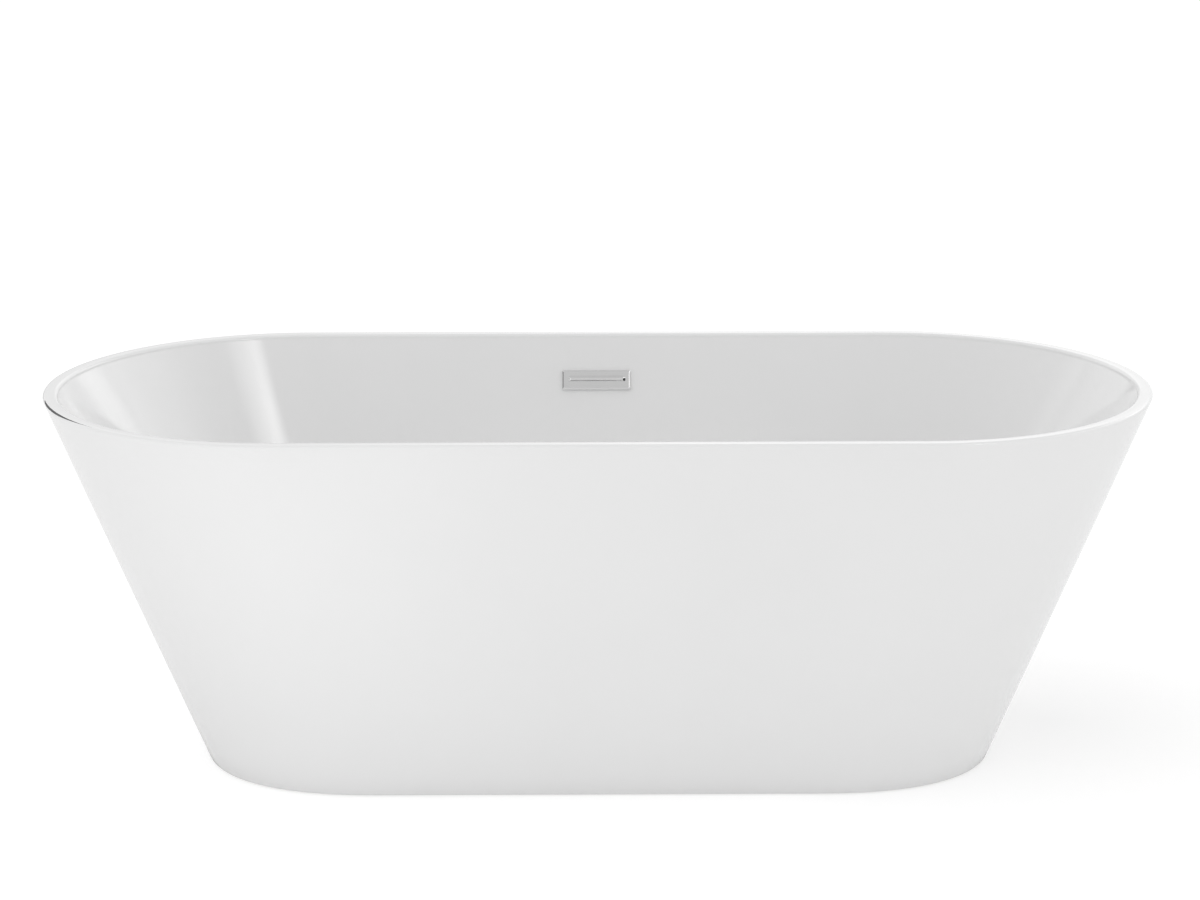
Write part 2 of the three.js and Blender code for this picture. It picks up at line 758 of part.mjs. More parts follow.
piece("stopper_seal", ring(9.3, 31, SEAL_BOTTOM, SEAL_TOP), RUBBER);
piece("stopper_stem", stopperStemGeometry(), STAINLESS);
piece("stopper_spring", stopperSpringGeometry(), STAINLESS);

piece("overflow_cover", overflowCoverGeometry(), CHROME);
piece("overflow_frame", overflowFrameGeometry(), STAINLESS);
piece("overflow_gasket", overflowGasketGeometry(), RUBBER);
piece("overflow_body", overflowBodyGeometry(), BLACK_PLASTIC);
piece("overflow_screw_left", overflowScrewGeometry(-1), STAINLESS);
piece("overflow_screw_right", overflowScrewGeometry(1), STAINLESS);
piece("overflow_hose", tubeAlong(hosePoints(), HOSE.outer, HOSE.inner, HOSE.steps), GREY_HOSE);
piece("hose_clamp_top", clampAt(behindWall(436), behindWall(428)), STAINLESS);
piece(
  "hose_clamp_bottom",
  clampAt(new THREE.Vector3(0, 50, INLET_HEIGHT), new THREE.Vector3(0, 58, INLET_HEIGHT)),
  STAINLESS,
);

export default tub;
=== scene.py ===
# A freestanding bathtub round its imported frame: fine pieces, procedural materials, soft studio light.

import math
from math import cos, pi, sin, sqrt

import bmesh
import bpy
from mathutils import Matrix, Vector


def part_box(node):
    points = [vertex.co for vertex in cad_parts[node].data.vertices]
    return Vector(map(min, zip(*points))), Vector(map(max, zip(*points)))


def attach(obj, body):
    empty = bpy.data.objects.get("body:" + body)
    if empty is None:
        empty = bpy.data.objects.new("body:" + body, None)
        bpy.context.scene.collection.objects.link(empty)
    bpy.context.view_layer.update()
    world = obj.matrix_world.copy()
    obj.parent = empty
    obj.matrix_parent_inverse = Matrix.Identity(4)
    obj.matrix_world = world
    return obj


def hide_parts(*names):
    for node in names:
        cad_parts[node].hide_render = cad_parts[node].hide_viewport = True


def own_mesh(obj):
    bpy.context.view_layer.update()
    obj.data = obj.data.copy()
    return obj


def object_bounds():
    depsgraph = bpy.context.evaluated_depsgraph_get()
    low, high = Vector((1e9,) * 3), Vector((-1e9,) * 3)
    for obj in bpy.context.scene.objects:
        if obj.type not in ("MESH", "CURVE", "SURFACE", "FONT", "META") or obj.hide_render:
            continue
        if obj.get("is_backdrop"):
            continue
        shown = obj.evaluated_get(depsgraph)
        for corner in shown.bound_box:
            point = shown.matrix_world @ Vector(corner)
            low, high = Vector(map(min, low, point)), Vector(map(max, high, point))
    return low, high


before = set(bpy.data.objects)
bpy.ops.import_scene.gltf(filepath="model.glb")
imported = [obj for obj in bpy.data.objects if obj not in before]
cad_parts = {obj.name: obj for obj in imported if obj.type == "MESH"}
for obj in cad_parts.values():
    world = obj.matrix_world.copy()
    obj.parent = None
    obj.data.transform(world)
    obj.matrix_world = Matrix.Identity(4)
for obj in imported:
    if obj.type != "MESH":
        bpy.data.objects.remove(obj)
cad_low, cad_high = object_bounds()

MM = 0.001
TUB = "tub"

# ---------- node helpers


class Nodes:
    """A short way to write a material's node tree."""

    def __init__(self, tree):
        self.tree = tree
        tree.nodes.clear()

    def add(self, kind, values=None, **settings):
        node = self.tree.nodes.new("ShaderNode" + kind)
        for key, value in settings.items():
            setattr(node, key, value)
        for socket, value in (values or {}).items():
            self.put(node.inputs[socket], value)
        return node

    def put(self, socket, value):
        if isinstance(value, bpy.types.NodeSocket):
            self.tree.links.new(value, socket)
        else:
            socket.default_value = (*value, 1.0) if socket.type == "RGBA" else value

    def coordinates(self):
        return self.add("TexCoord").outputs["Object"]

    def noise(self, scale, detail, vector=None):
        values = {"Scale": scale, "Detail": detail, "Vector": vector or self.coordinates()}
        return self.add("TexNoise", values).outputs["Fac"]

    def voronoi(self, scale, stretch, feature, output):
        values = {"Scale": scale, "Vector": self.stretched(*stretch)}
        return self.add("TexVoronoi", values, feature=feature).outputs[output]

    def stretched(self, x, y, z):
        values = {"Vector": self.coordinates(), "Scale": (x, y, z)}
        return self.add("Mapping", values).outputs["Vector"]

    def spread(self, value, low, high, start, end):
        """low where value is start, high where it is end, and between them in between."""
        values = {"Value": value, "From Min": start, "From Max": end, "To Min": low, "To Max": high}
        return self.add("MapRange", values).outputs["Result"]

    def channel(self, colour, index):
        return self.add("SeparateColor", {0: colour}).outputs[index]

    def ramp(self, value, stops):
        node = self.add("ValToRGB", {"Fac": value})
        elements = node.color_ramp.elements
        while len(elements) < len(stops):
            elements.new(0.5)
        for element, (position, colour) in zip(elements, stops):
            element.position = position
            element.color = (*colour, 1.0)
        return node.outputs["Color"]

    def maths(self, operation, a, b=0.0):
        return self.add("Math", {0: a, 1: b}, operation=operation).outputs[0]

    def times(self, a, b):
        return self.maths("MULTIPLY", a, b)

    def blend(self, share, a, b, mode="MIX"):
        node = self.add("Mix", {0: share, 6: a, 7: b}, data_type="RGBA", blend_type=mode)
        return node.outputs[2]

    def bump(self, height, strength, distance, normal=None):
        values = {"Height": height, "Strength": strength, "Distance": distance}
        if normal:
            values["Normal"] = normal
        return self.add("Bump", values).outputs["Normal"]


def material(name, colour, roughness, normal, **constants):
    """A principled material. colour and normal are functions of its nodes.

    roughness is its lowest and highest value, and the scale at which it varies.
    """
    made = bpy.data.materials.new(name)
    made.use_nodes = True
    nodes = Nodes(made.node_tree)
    shader = nodes.add("BsdfPrincipled")
    for socket, value in constants.items():
        shader.inputs[socket].default_value = value
    nodes.put(shader.inputs["Base Color"], colour(nodes))
    low, high, scale = roughness
    uneven = nodes.spread(nodes.noise(scale, 4.0), low, high, 0.3, 0.7)
    nodes.put(shader.inputs["Roughness"], uneven)
    nodes.put(shader.inputs["Normal"], normal(nodes))
    nodes.add("OutputMaterial", {"Surface": shader.outputs[0]})
    return made


def grey(value):
    return value, value, value


def two_tones(a, b, scale):
    """A colour that drifts between two tones."""
    return lambda n: n.ramp(n.noise(scale, 3.0), [(0.3, a), (0.7, b)])


def rough(scale, detail, strength, distance):
    """The bump of a fine, even grain."""
    return lambda n: n.bump(n.noise(scale, detail), strength, distance)


# ---------- materials


def acrylic_normal(n):
    ripple = n.bump(n.noise(5.0, 1.0), 0.25, 0.0006)
    return n.bump(n.noise(420, 2.0), 0.05, 0.00004, ripple)


ACRYLIC = material(
    "acrylic_white",
    two_tones(grey(0.80), grey(0.82), 2.2),
    (0.07, 0.12, 9.0),
    acrylic_normal,
    IOR=1.49,
)


def strand_mat(n):
    """Height of chopped glass strands lying in all directions."""
    height = None
    for scale, (x, y) in ((60, (1.0, 9.0)), (60, (9.0, 1.0)), (45, (5.0, 6.0))):
        strands = n.voronoi(scale, (x, y, 3.0), "DISTANCE_TO_EDGE", "Distance")
        height = strands if height is None else n.maths("MINIMUM", height, strands)
    return height


FIBREGLASS = material(
    "fibreglass_back",
    lambda n: n.blend(
        n.spread(strand_mat(n), 0.0, 0.6, 0.0, 0.12),
        n.ramp(n.noise(7.0, 4.0), [(0.3, (0.60, 0.60, 0.50)), (0.7, (0.70, 0.70, 0.62))]),
        (0.80, 0.80, 0.74),
    ),
    (0.35, 0.6, 30),
    lambda n: n.bump(strand_mat(n), 0.5, 0.0012, n.bump(n.noise(14, 3.0), 0.6, 0.003)),
    IOR=1.52,
)

CHROME = material(
    "chrome",
    two_tones(grey(0.85), grey(0.87), 40),
    (0.05, 0.11, 60),
    rough(90, 2.0, 0.03, 0.00006),
    Metallic=1.0,
)

STAINLESS = material(
    "stainless",
    two_tones(grey(0.60), (0.68, 0.68, 0.675), 90),
    (0.22, 0.34, 140),
    lambda n: n.bump(n.noise(240, 3.0, n.stretched(1.0, 1.0, 8.0)), 0.15, 0.0001),
    Metallic=1.0,
)


def spangle(n):
    """Zinc's crystals, each of its own grey."""
    crystals = n.voronoi(120, (1.0, 1.3, 1.0), "F1", "Color")
    return n.ramp(n.channel(crystals, 0), [(0.0, (0.42, 0.43, 0.44)), (1.0, (0.56, 0.57, 0.58))])


STEEL = material(
    "zinc_plated_steel",
    spangle,
    (0.32, 0.5, 70),
    rough(160, 4.0, 0.25, 0.0002),
    Metallic=1.0,
)


def wood_chips(n):
    """Flat chips pressed in all directions."""
    chips = n.voronoi(190, (1.0, 0.45, 2.2), "F1", "Color")
    more = n.voronoi(260, (0.4, 1.0, 2.2), "F1", "Color")
    return n.maths("ADD", n.times(n.channel(chips, 0), 0.6), n.times(n.channel(more, 1), 0.4))


WOOD_TONES = [
    (0.15, (0.26, 0.15, 0.075)),
    (0.45, (0.44, 0.28, 0.15)),
    (0.75, (0.56, 0.39, 0.22)),
    (0.95, (0.66, 0.50, 0.32)),
]
WOOD = material(
    "pressed_board",
    lambda n: n.ramp(wood_chips(n), WOOD_TONES),
    (0.65, 0.85, 60),
    lambda n: n.bump(wood_chips(n), 0.35, 0.0004),
)

RUBBER = material(
    "black_rubber",
    two_tones((0.016, 0.016, 0.017), (0.028, 0.028, 0.029), 60),
    (0.62, 0.8, 90),
    rough(700, 3.0, 0.3, 0.00008),
)

BLACK_PLASTIC = material(
    "black_plastic",
    two_tones((0.020, 0.020, 0.022), (0.030, 0.030, 0.032), 30),
    (0.36, 0.5, 80),
    rough(900, 2.0, 0.25, 0.00006),
)

WHITE_PLASTIC = material(
    "white_plastic",
    two_tones((0.72, 0.72, 0.70), (0.77, 0.77, 0.75), 25),
    (0.32, 0.44, 60),
    rough(600, 2.0, 0.2, 0.00005),
)

GREY_HOSE = material(
    "grey_hose",
    two_tones((0.30, 0.305, 0.31), (0.36, 0.365, 0.37), 18),
    (0.45, 0.62, 50),
    rough(420, 3.0, 0.25, 0.0001),
)

# ---------- mesh helpers


def tidy(mesh):
    """Merges doubled points, drops faces without area and turns the faces outwards."""
    weld = 2e-6
    work = bmesh.new()
    work.from_mesh(mesh)
    bmesh.ops.remove_doubles(work, verts=work.verts, dist=weld)
    bmesh.ops.dissolve_degenerate(work, edges=work.edges, dist=weld / 4)
    bmesh.ops.recalc_face_normals(work, faces=work.faces)
    work.to_mesh(mesh)
    work.free()


def shade(obj):
    obj.data.shade_smooth()
    obj.data.set_sharp_from_angle(angle=math.radians(32))
    return obj


def linked(obj):
    bpy.context.scene.collection.objects.link(obj)
    return obj


def made(name, points, faces, *looks, look_of=None):
    """An object from points in millimetres. look_of gives each face's material, in order."""
    mesh = bpy.data.meshes.new(name)
    mesh.from_pydata([(x * MM, y * MM, z * MM) for x, y, z in points], [], faces)
    for look in looks:
        mesh.materials.append(look)
    if look_of:
        mesh.polygons.foreach_set("material_index", look_of)
    tidy(mesh)
    return shade(linked(bpy.data.objects.new(name, mesh)))


def lofted(rings, closed=False, cap=True):
    """(points, faces) through rings of points. closed joins the last ring to the first."""
    count = len(rings[0])
    points = [point for ring in rings for point in ring]
    faces = []
    for i in range(len(rings) if closed else len(rings) - 1):
        a, b = i * count, (i + 1) % len(rings) * count
        for j in range(count):
            k = (j + 1) % count
            faces.append((a + j, a + k, b + k, b + j))
    if cap and not closed:
        faces.append(tuple(range(count)))
        faces.append(tuple(range(len(points) - count, len(points))))
    return points, faces


def quarter_turn(steps):
    """The angles from 0 to a right angle."""
    return [pi / 2 * i / steps for i in range(steps + 1)]


def round_corner(before, here, after, radius, steps):
    """One corner of a line, rounded as far as its sides allow."""
    here = Vector(here)
    before, after = Vector(before) - here, Vector(after) - here
    if min(before.length, after.length) < 1e-9:
        return [tuple(here)]
    back = min(radius, 0.45 * before.length, 0.45 * after.length)
    start = here + before.normalized() * back
    end = here + after.normalized() * back
    shares = [i / steps for i in range(steps + 1)]
    return [tuple(start * (1 - t) ** 2 + here * 2 * t * (1 - t) + end * t * t) for t in shares]


def rounded(outline, radius, steps=4, closed=True):
    """A line of [a, b] points with its corners rounded."""
    count = len(outline)
    result = []
    for i, corner in enumerate(outline):
        if closed or 0 < i < count - 1:
            result += round_corner(outline[i - 1], corner, outline[(i + 1) % count], radius, steps)
        else:
            result.append(tuple(Vector(corner)))
    return result


def held(line):
    """The same line with a point near both ends of each long stretch, to shade it flat."""
    margin = 0.12
    result = line[:1]
    for a, b in zip(line, line[1:]):
        share = margin / math.dist(a, b)
        if share < 0.25:
            result += [tuple(Vector(a).lerp(Vector(b), s)) for s in (share, 1 - share)]
        result.append(b)
    return result


def turned(profile, segments=64, shape=None):
    """(points, faces) of a body turned about +Z. shape(angle, radius, z) may change a radius."""
    rings = []
    for radius, z in profile:
        ring = []
        for i in range(segments):
            angle = 2 * pi * i / segments
            r = shape(angle, radius, z) if shape else radius
            ring.append((r * cos(angle), r * sin(angle), z))
        rings.append(ring)
    return lofted(rings, closed=profile[0][0] > 1e-6, cap=False)


def placed(body, matrix=None, move=(0, 0, 0)):
    """The same body, turned by a matrix and then moved, in millimetres."""
    points, faces = body
    turn = matrix or Matrix.Identity(3)
    shift = Vector(move)
    return [tuple(turn @ Vector(p) + shift) for p in points], faces


def hole(radius, bottom, top, x=0, y=0, segments=32):
    """A plain round rod, to cut a hole with."""
    line = [(0, bottom), (radius, bottom), (radius, top), (0, top)]
    return placed(turned(line, segments), move=(x, y, 0))


def together(*bodies):
    """Several bodies as one set of points and faces."""
    points, faces = [], []
    for more_points, more_faces in bodies:
        start = len(points)
        points += more_points
        faces += [tuple(i + start for i in face) for face in more_faces]
    return points, faces


def combine(obj, operation, *tools):
    """obj with each tool cut from it, or joined to it. The tools are bodies."""
    for tool in tools:
        other = made("tool", *tool, *obj.data.materials)
        change = obj.modifiers.new("change", "BOOLEAN")
        change.operation = operation
        change.solver = "EXACT"
        change.object = other
        graph = bpy.context.evaluated_depsgraph_get()
        mesh = bpy.data.meshes.new_from_object(obj.evaluated_get(graph))
        obj.modifiers.clear()
        obj.data = mesh
        bpy.data.objects.remove(other)
    obj.data.name = obj.name
    return shade(obj)


def make(name, body, look, *nodes, more_looks=(), look_of=None, rides_on=TUB, joins=(), cuts=()):
    """A piece for some CAD nodes: a body with others joined to it, and then others cut from it."""
    obj = made(name, *body, look, *more_looks, look_of=look_of)
    combine(obj, "UNION", *joins)
    combine(obj, "DIFFERENCE", *cuts)
    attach(obj, rides_on)
    if nodes:
        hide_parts(*nodes)
    return obj


# ---------- outlines of the tub

HEIGHT = cad_high.z / MM
RIM = {"x": cad_high.x / MM, "y": cad_high.y / MM, "straight": 474, "power": 2}
FOOTPRINT = {"x": 612, "y": 255, "straight": 331, "power": 2.3}
WELL_CORNER = {"x": 560, "y": 205, "straight": 350, "power": 2.4}
RIM_WIDTH, RIM_INNER_RADIUS, RIM_OUTER_RADIUS, RIM_THICKNESS = 22.5, 6, 4, 6.5
ROUND_START = HEIGHT - RIM_OUTER_RADIUS
WALL_TOP = HEIGHT - RIM_INNER_RADIUS
WELL_WALL, LIP_WALL, LIP_BOTTOM, SKIRT_WALL = 6.4, 5.5, 556, 5
SEAM = 0.01  # half of the joint between rim and shell
FLOOR_EDGE, FLOOR_DRAIN, FLOOR_UNDERSIDE = 151, 143, 134.6
FILLET_UP, FILLET_IN = 95, 70
END_STEPS, SIDE_STEPS = 72, 24


def mix(a, b, share):
    return a + (b - a) * share


def mixed(a, b, share):
    return {key: mix(a[key], b[key], share) for key in a}


def grown(outline, by):
    return {**outline, "x": outline["x"] + by, "y": outline["y"] + by}


def ring_of(outline, z):
    """A closed ring: two straight sides joined by superelliptical ends."""
    straight, half = outline["straight"], outline["y"]
    reach = outline["x"] - straight
    exponent = 2 / outline["power"]
    points = []
    for side in (1, -1):
        for i in range(END_STEPS):
            angle = pi * (i / END_STEPS - 0.5)
            x = straight + reach * abs(cos(angle)) ** exponent
            y = math.copysign(half * abs(sin(angle)) ** exponent, angle)
            points.append((side * x, side * y, z))
        for i in range(SIDE_STEPS):
            points.append((side * mix(straight, -straight, i / SIDE_STEPS), side * half, z))
    return points


def circle_ring(radius, z):
    count = 2 * (END_STEPS + SIDE_STEPS)
    angles = [2 * pi * (i - END_STEPS / 2) / count for i in range(count)]
    return [(radius * cos(a), radius * sin(a), z) for a in angles]


def mix_rings(a, b, share, lift=None):
    """The ring between two others. Its height may have a share of its own, lift."""
    up = share if lift is None else lift
    return [(mix(p[0], q[0], share), mix(p[1], q[1], share), mix(p[2], q[2], up)) for p, q in zip(a, b)]


def shell_ring(z, inset):
    return ring_of(grown(mixed(FOOTPRINT, RIM, z / ROUND_START), -inset), z)


def shell_rings(*rows):
    """Rings of the shell, from rows of a height and how far in the ring is."""
    return [shell_ring(z, inset) for z, inset in rows]


def well_outline(z):
    share = (z - FLOOR_EDGE) / (WALL_TOP - FLOOR_EDGE)
    return mixed(WELL_CORNER, grown(RIM, -RIM_WIDTH), share)


def wall_y(z):
    return well_outline(z)["y"]


def skirt_inner_y(z):
    return mix(FOOTPRINT["y"], RIM["y"], z / ROUND_START) - SKIRT_WALL


def fillet_rings(floor_z, thickness, steps):
    """From the floor's edge round to the start of the straight wall."""
    start = ring_of(grown(well_outline(floor_z), thickness - FILLET_IN), floor_z)
    bend = ring_of(grown(well_outline(floor_z), thickness), floor_z)
    end = ring_of(grown(well_outline(floor_z + FILLET_UP), thickness), floor_z + FILLET_UP)
    shares = [i / steps for i in range(steps + 1)]
    return [mix_rings(mix_rings(start, bend, s), mix_rings(bend, end, s), s) for s in shares]


def wall_rings(bottom, top, thickness, steps):
    """The straight wall. Its last ring keeps the rim's round off the wall's shading."""
    heights = [mix(bottom, top, i / steps) for i in range(1, steps)] + [top - 1.5]
    return [ring_of(grown(well_outline(z), thickness), z) for z in heights]


# ---------- the overflow's own frame

OVERFLOW_HEIGHT = 507.5
SCREW_X = 47
LEAN = math.atan(wall_y(1) - wall_y(0))
WALL_DEPTH = WELL_WALL * cos(LEAN)
WALL_TURN = Matrix.Rotation(pi / 2 - LEAN, 3, "X")
WALL_ORIGIN = (0, wall_y(OVERFLOW_HEIGHT), OVERFLOW_HEIGHT)


def on_wall(body):
    """Puts in its place a body made about the overflow's middle, with +Z out of the wall."""
    return placed(body, WALL_TURN, WALL_ORIGIN)


def rectangle_ring(width, height, radius, z, steps=6):
    """A rounded rectangle at a height."""
    x, y = width / 2 - radius, height / 2 - radius
    points = []
    for quarter, (cx, cy) in enumerate(((x, y), (-x, y), (-x, -y), (x, -y))):
        for i in range(steps + 1):
            angle = pi / 2 * (quarter + i / steps)
            points.append((cx + radius * cos(angle), cy + radius * sin(angle), z))
    return points


def slab(width, height, radius, bottom, top, edge=0.0, steps=6):
    """A rounded rectangle between two heights, with its edges rounded by edge."""
    levels = [(0, bottom), (0, top)]
    if edge:
        levels = [(edge * (1 - sin(a)), bottom + edge * (1 - cos(a))) for a in quarter_turn(3)]
        levels += [(edge * (1 - cos(a)), top - edge * (1 - sin(a))) for a in quarter_turn(3)]
    return lofted([
        rectangle_ring(width - 2 * inset, height - 2 * inset, max(radius - inset, 0.05), z, steps)
        for inset, z in levels
    ])


def screw_holes(radius, bottom, top):
    return [on_wall(hole(radius, bottom, top, side * SCREW_X, segments=24)) for side in (-1, 1)]


def wall_opening(top):
    """What is cut from each layer at the overflow: the opening and two screw holes."""
    return [on_wall(slab(82, 16, 4, -20, top)), *screw_holes(2.4, -20, top)]


# ---------- well and shell


def painted_shade_groove(x, y):
    """1 along the outside of the rim's left end, where a shallow groove is painted black as shade under the
    rim, falling to 0 elsewhere.
    """
    if x > -RIM["straight"]:
        return 0.0
    return max(0.0, min(1.0, (-95 - y) / 35, (275 + y) / 85))


def outer_edge():
    """The rim's outer round, with a shallow groove at its left end whose faces make_well paints black:
    painted shade under the rim.
    """
    radius, groove_depth = RIM_OUTER_RADIUS, 0.6
    outside, inside = ring_of(RIM, 0), ring_of(grown(RIM, -radius), 0)
    # Each step is its angle in degrees, how far the groove turns it back, and 1 inside the groove.
    steps = [(90, 0, 0), (82, 0, 0), (74, 0, 0), (68, 0, 0), (67, 0, 1), (66, 46, 1), (65, 46, 0)]
    steps += [(65 * i / 5, 46 * i / 5, 0) for i in range(4, -1, -1)]
    rings = []
    for start, width, depth in steps:
        ring = []
        for p, q in zip(outside, inside):
            share = painted_shade_groove(*p[:2])
            angle = math.radians(start - width * share)
            reach = radius - groove_depth * depth * share
            inset = 1 - reach * cos(angle) / radius
            ring.append((mix(p[0], q[0], inset), mix(p[1], q[1], inset), ROUND_START + reach * sin(angle)))
        rings.append(ring)
    return rings


def inner_edge():
    """The rim's inner round, from the wall up to the flat."""
    radius = RIM_INNER_RADIUS
    rows = [(radius * (1 - cos(a)), HEIGHT - radius * (1 - sin(a))) for a in quarter_turn(8)]
    return [ring_of(grown(RIM, inset - RIM_WIDTH), z) for inset, z in rows]


def front_and_back(rings, shown):
    """0 for each face up to ring number shown, and 1 for those on the back."""
    count = len(rings[0])
    return [0 if i < (shown - 1) * count else 1 for i in range(len(rings) * count)]


def drain_rings(edge):
    """The recess for the waste, and the floor round it, which rises to its edge."""
    recess = [(26, FLOOR_UNDERSIDE), (26, 139.5), (36, 139.5), (36, FLOOR_DRAIN), (46, 143.4)]
    rings = [circle_ring(radius, z) for radius, z in rounded(recess, 1.6, closed=False)[:-1]]
    dish = circle_ring(38, 143.08)
    for i in range(14):
        share = i / 14
        rings.append(mix_rings(dish, edge, share ** 1.15, 1 - (1 - share) ** 1.7))
    return rings


def make_well():
    fillet = fillet_rings(FLOOR_EDGE, 0, 16)
    rings = drain_rings(fillet[0]) + fillet
    rings += wall_rings(FLOOR_EDGE + FILLET_UP, WALL_TOP, 0, 16) + inner_edge()
    groove = len(rings) + 3
    rings += outer_edge()
    rings += [shell_ring(z, 0) for z in (570, 564, LIP_BOTTOM + SEAM)]
    shown = len(rings)
    under = HEIGHT - RIM_THICKNESS
    rings += shell_rings((LIP_BOTTOM + SEAM, LIP_WALL), (under - 1.5, LIP_WALL), (under, LIP_WALL + 1.5))
    rings.append(ring_of(grown(well_outline(under), WELL_WALL), under))
    back = fillet_rings(FLOOR_UNDERSIDE, WELL_WALL, 10)
    back += wall_rings(FLOOR_UNDERSIDE + FILLET_UP, under, WELL_WALL, 12)
    rings += reversed(back)
    look_of = front_and_back(rings, shown)
    count = len(rings[0])
    # Painted shade: the groove's faces get black plastic, for the shadow under the rim's left end.
    for row in range(groove, groove + 3):
        for column, point in enumerate(rings[row]):
            if painted_shade_groove(*point[:2]) > 0.02:
                look_of[row * count + column] = 2
    body, more_looks = lofted(rings, closed=True), (FIBREGLASS, BLACK_PLASTIC)
    cuts = wall_opening(20)
    make("bath_well", body, ACRYLIC, "basin", more_looks=more_looks, look_of=look_of, cuts=cuts)


make_well()


def make_shell():
    """The outer shell with its turned-in foot and the tongue that stands inside the rim's lip."""
    top, tongue = LIP_BOTTOM - SEAM, LIP_WALL + 0.3
    foot_bottom, foot_top, foot_width = 2.2, 9, 20
    rings = [shell_ring(mix(top, 4.2, i / 18), 0) for i in range(19)]
    rings += shell_rings((2.8, 0.55), (foot_bottom, 2))
    shown = len(rings)
    rings += shell_rings((foot_bottom, foot_width), (foot_top, foot_width), (foot_top, SKIRT_WALL + 3))
    rings += [shell_ring(z, SKIRT_WALL) for z in (foot_top + 3, 120, 230, 340, 450, 540)]
    rings += shell_rings((545, tongue + 4), (571, tongue + 4), (572, tongue + 3), (572, tongue + 1))
    rings += shell_rings((571, tongue), (top, tongue))
    body, look_of = lofted(rings, closed=True), front_and_back(rings, shown)
    make("bath_shell", body, ACRYLIC, "skirt", more_looks=[FIBREGLASS], look_of=look_of)


make_shell()

# ---------- overflow cover

COVER = {"width": 113, "height": 33, "back": 0.3, "front": 5.5, "bevel": 2.5, "edge": 3.1}
HOOD = {"length": 94, "height": 8.4, "top": 9.7, "y": 2.2}


def cover_body():
    """A plate whose border slopes up to a flat panel."""
    bevel, front = COVER["bevel"], COVER["front"]
    line = [(0, COVER["back"]), (0, COVER["edge"]), (bevel, front), (bevel + 3, front)]
    rings = []
    for inset, z in held(rounded(line, 0.4, closed=False)):
        width, height = COVER["width"] - 2 * inset, COVER["height"] - 2 * inset
        ring = rectangle_ring(width, height, max(1.8 - inset * 0.3, 0.5), z)
        rings.append(held(ring + ring[:1])[:-1])
    return lofted(rings)


def hood_body():
    """A long half-round hood with domed ends."""
    half = HOOD["height"] / 2
    base = COVER["front"] - 0.5
    rings = []
    for tilt in quarter_turn(12):
        inset = half * (1 - cos(tilt))
        z = base + (HOOD["top"] - base) * sin(tilt) ** 0.9
        length, height = HOOD["length"] - 2 * inset, HOOD["height"] - 2 * inset
        rings.append(rectangle_ring(length, height, max(half - inset, 0.02), z, 10))
    return placed(lofted(rings), move=(0, HOOD["y"], 0))


def button_body(radius, height):
    """A low round button that stands on the hood."""
    base = COVER["front"] - 0.5
    line = [(0, base), (radius, base)]
    line += [(radius * cos(a), height - radius * 0.4 * (1 - sin(a))) for a in quarter_turn(8)]
    return turned(line, 32)


pocket = on_wall(slab(108, 28, 1.5, -2, COVER["front"] - 2.4))
slot = on_wall(placed(slab(86, 2.3, 0.8, COVER["front"] - 0.1, HOOD["top"] - 2.2, 0.4), move=(0, -1.5, 0)))
hood = on_wall(hood_body())
make("overflow_plate", on_wall(cover_body()), CHROME, "overflow_cover", joins=[hood], cuts=[pocket, slot])
# The right button is black plastic as painted shade, for the dark at the hood's right end; the left one is
# chrome.
for name, x, look in (("cover_button_left", -44.5, CHROME), ("cover_button_right", 45.5, BLACK_PLASTIC)):
    make(name, on_wall(placed(button_body(2.2, HOOD["top"] + 0.5), move=(x, 0, 0))), look)

# ---------- shared shapes


def box_of(node):
    """A node's lowest and highest corners, in millimetres."""
    return [[value / MM for value in corner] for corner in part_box(node)]


def heights_of(node):
    return [corner[2] for corner in box_of(node)]


def centre(node):
    """The middle of a node's box, in millimetres."""
    low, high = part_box(node)
    return (low + high) / 2 / MM


def hexagon(angle, across):
    """A hexagon's radius at an angle, given across its flats. A corner is at angle 0."""
    return across / 2 / cos(angle % (pi / 3) - pi / 6)


def threaded(radius, pitch, depth, low=-math.inf, high=math.inf):
    """A shape that cuts a right-handed thread at one radius, between two heights."""

    def shape(angle, r, z):
        if abs(r - radius) > 1e-6 or not low < z < high:
            return r
        share = (z / pitch - angle / (2 * pi)) % 1
        return radius - depth * (1 - min(1, 2.4 * min(share, 1 - share)))

    return shape


def levels(bottom, top, step):
    """Evenly spaced heights, about step apart."""
    count = max(2, round((top - bottom) / step))
    return [mix(bottom, top, i / count) for i in range(count + 1)]


def chamfered_hex(across, bottom, top, bore):
    """A nut with its corners turned off at both ends."""
    corner = across / sqrt(3)
    edge = across * 0.475
    drop = (corner - edge) * 0.58
    outer = [(mix(edge, corner, i / 4), bottom + drop * i / 4) for i in range(5)]
    outer += [(mix(corner, edge, i / 4), top - drop + drop * i / 4) for i in range(5)]
    inner = [(bore + 0.6, top), (bore, top - 0.6), (bore, bottom + 0.6), (bore + 0.6, bottom)]

    def shape(angle, radius, z):
        return min(radius, hexagon(angle, across)) if radius > bore + 1 else radius

    return turned(outer + inner, 96, shape)


def rounded_ring(inner, outer, bottom, top, radius, segments=96):
    outline = [(inner, bottom), (outer, bottom), (outer, top), (inner, top)]
    return turned(rounded(outline, radius, 3), segments)


def turn_to(direction):
    """The matrix that turns +Z to a direction."""
    return Vector((0, 0, 1)).rotation_difference(Vector(direction)).to_matrix()


def swept(path, radius_at, segments):
    """Circles along a path, kept from twisting. radius_at(i) is the radius at a point."""
    rings = []
    side = Vector((1, 0, 0))
    for i, point in enumerate(path):
        ahead = (path[min(i + 1, len(path) - 1)] - path[max(i - 1, 0)]).normalized()
        side = (side - ahead * side.dot(ahead)).normalized()
        up = ahead.cross(side)
        angles = [2 * pi * j / segments for j in range(segments)]
        rings.append([tuple(point + (side * cos(a) + up * sin(a)) * radius_at(i)) for a in angles])
    return rings


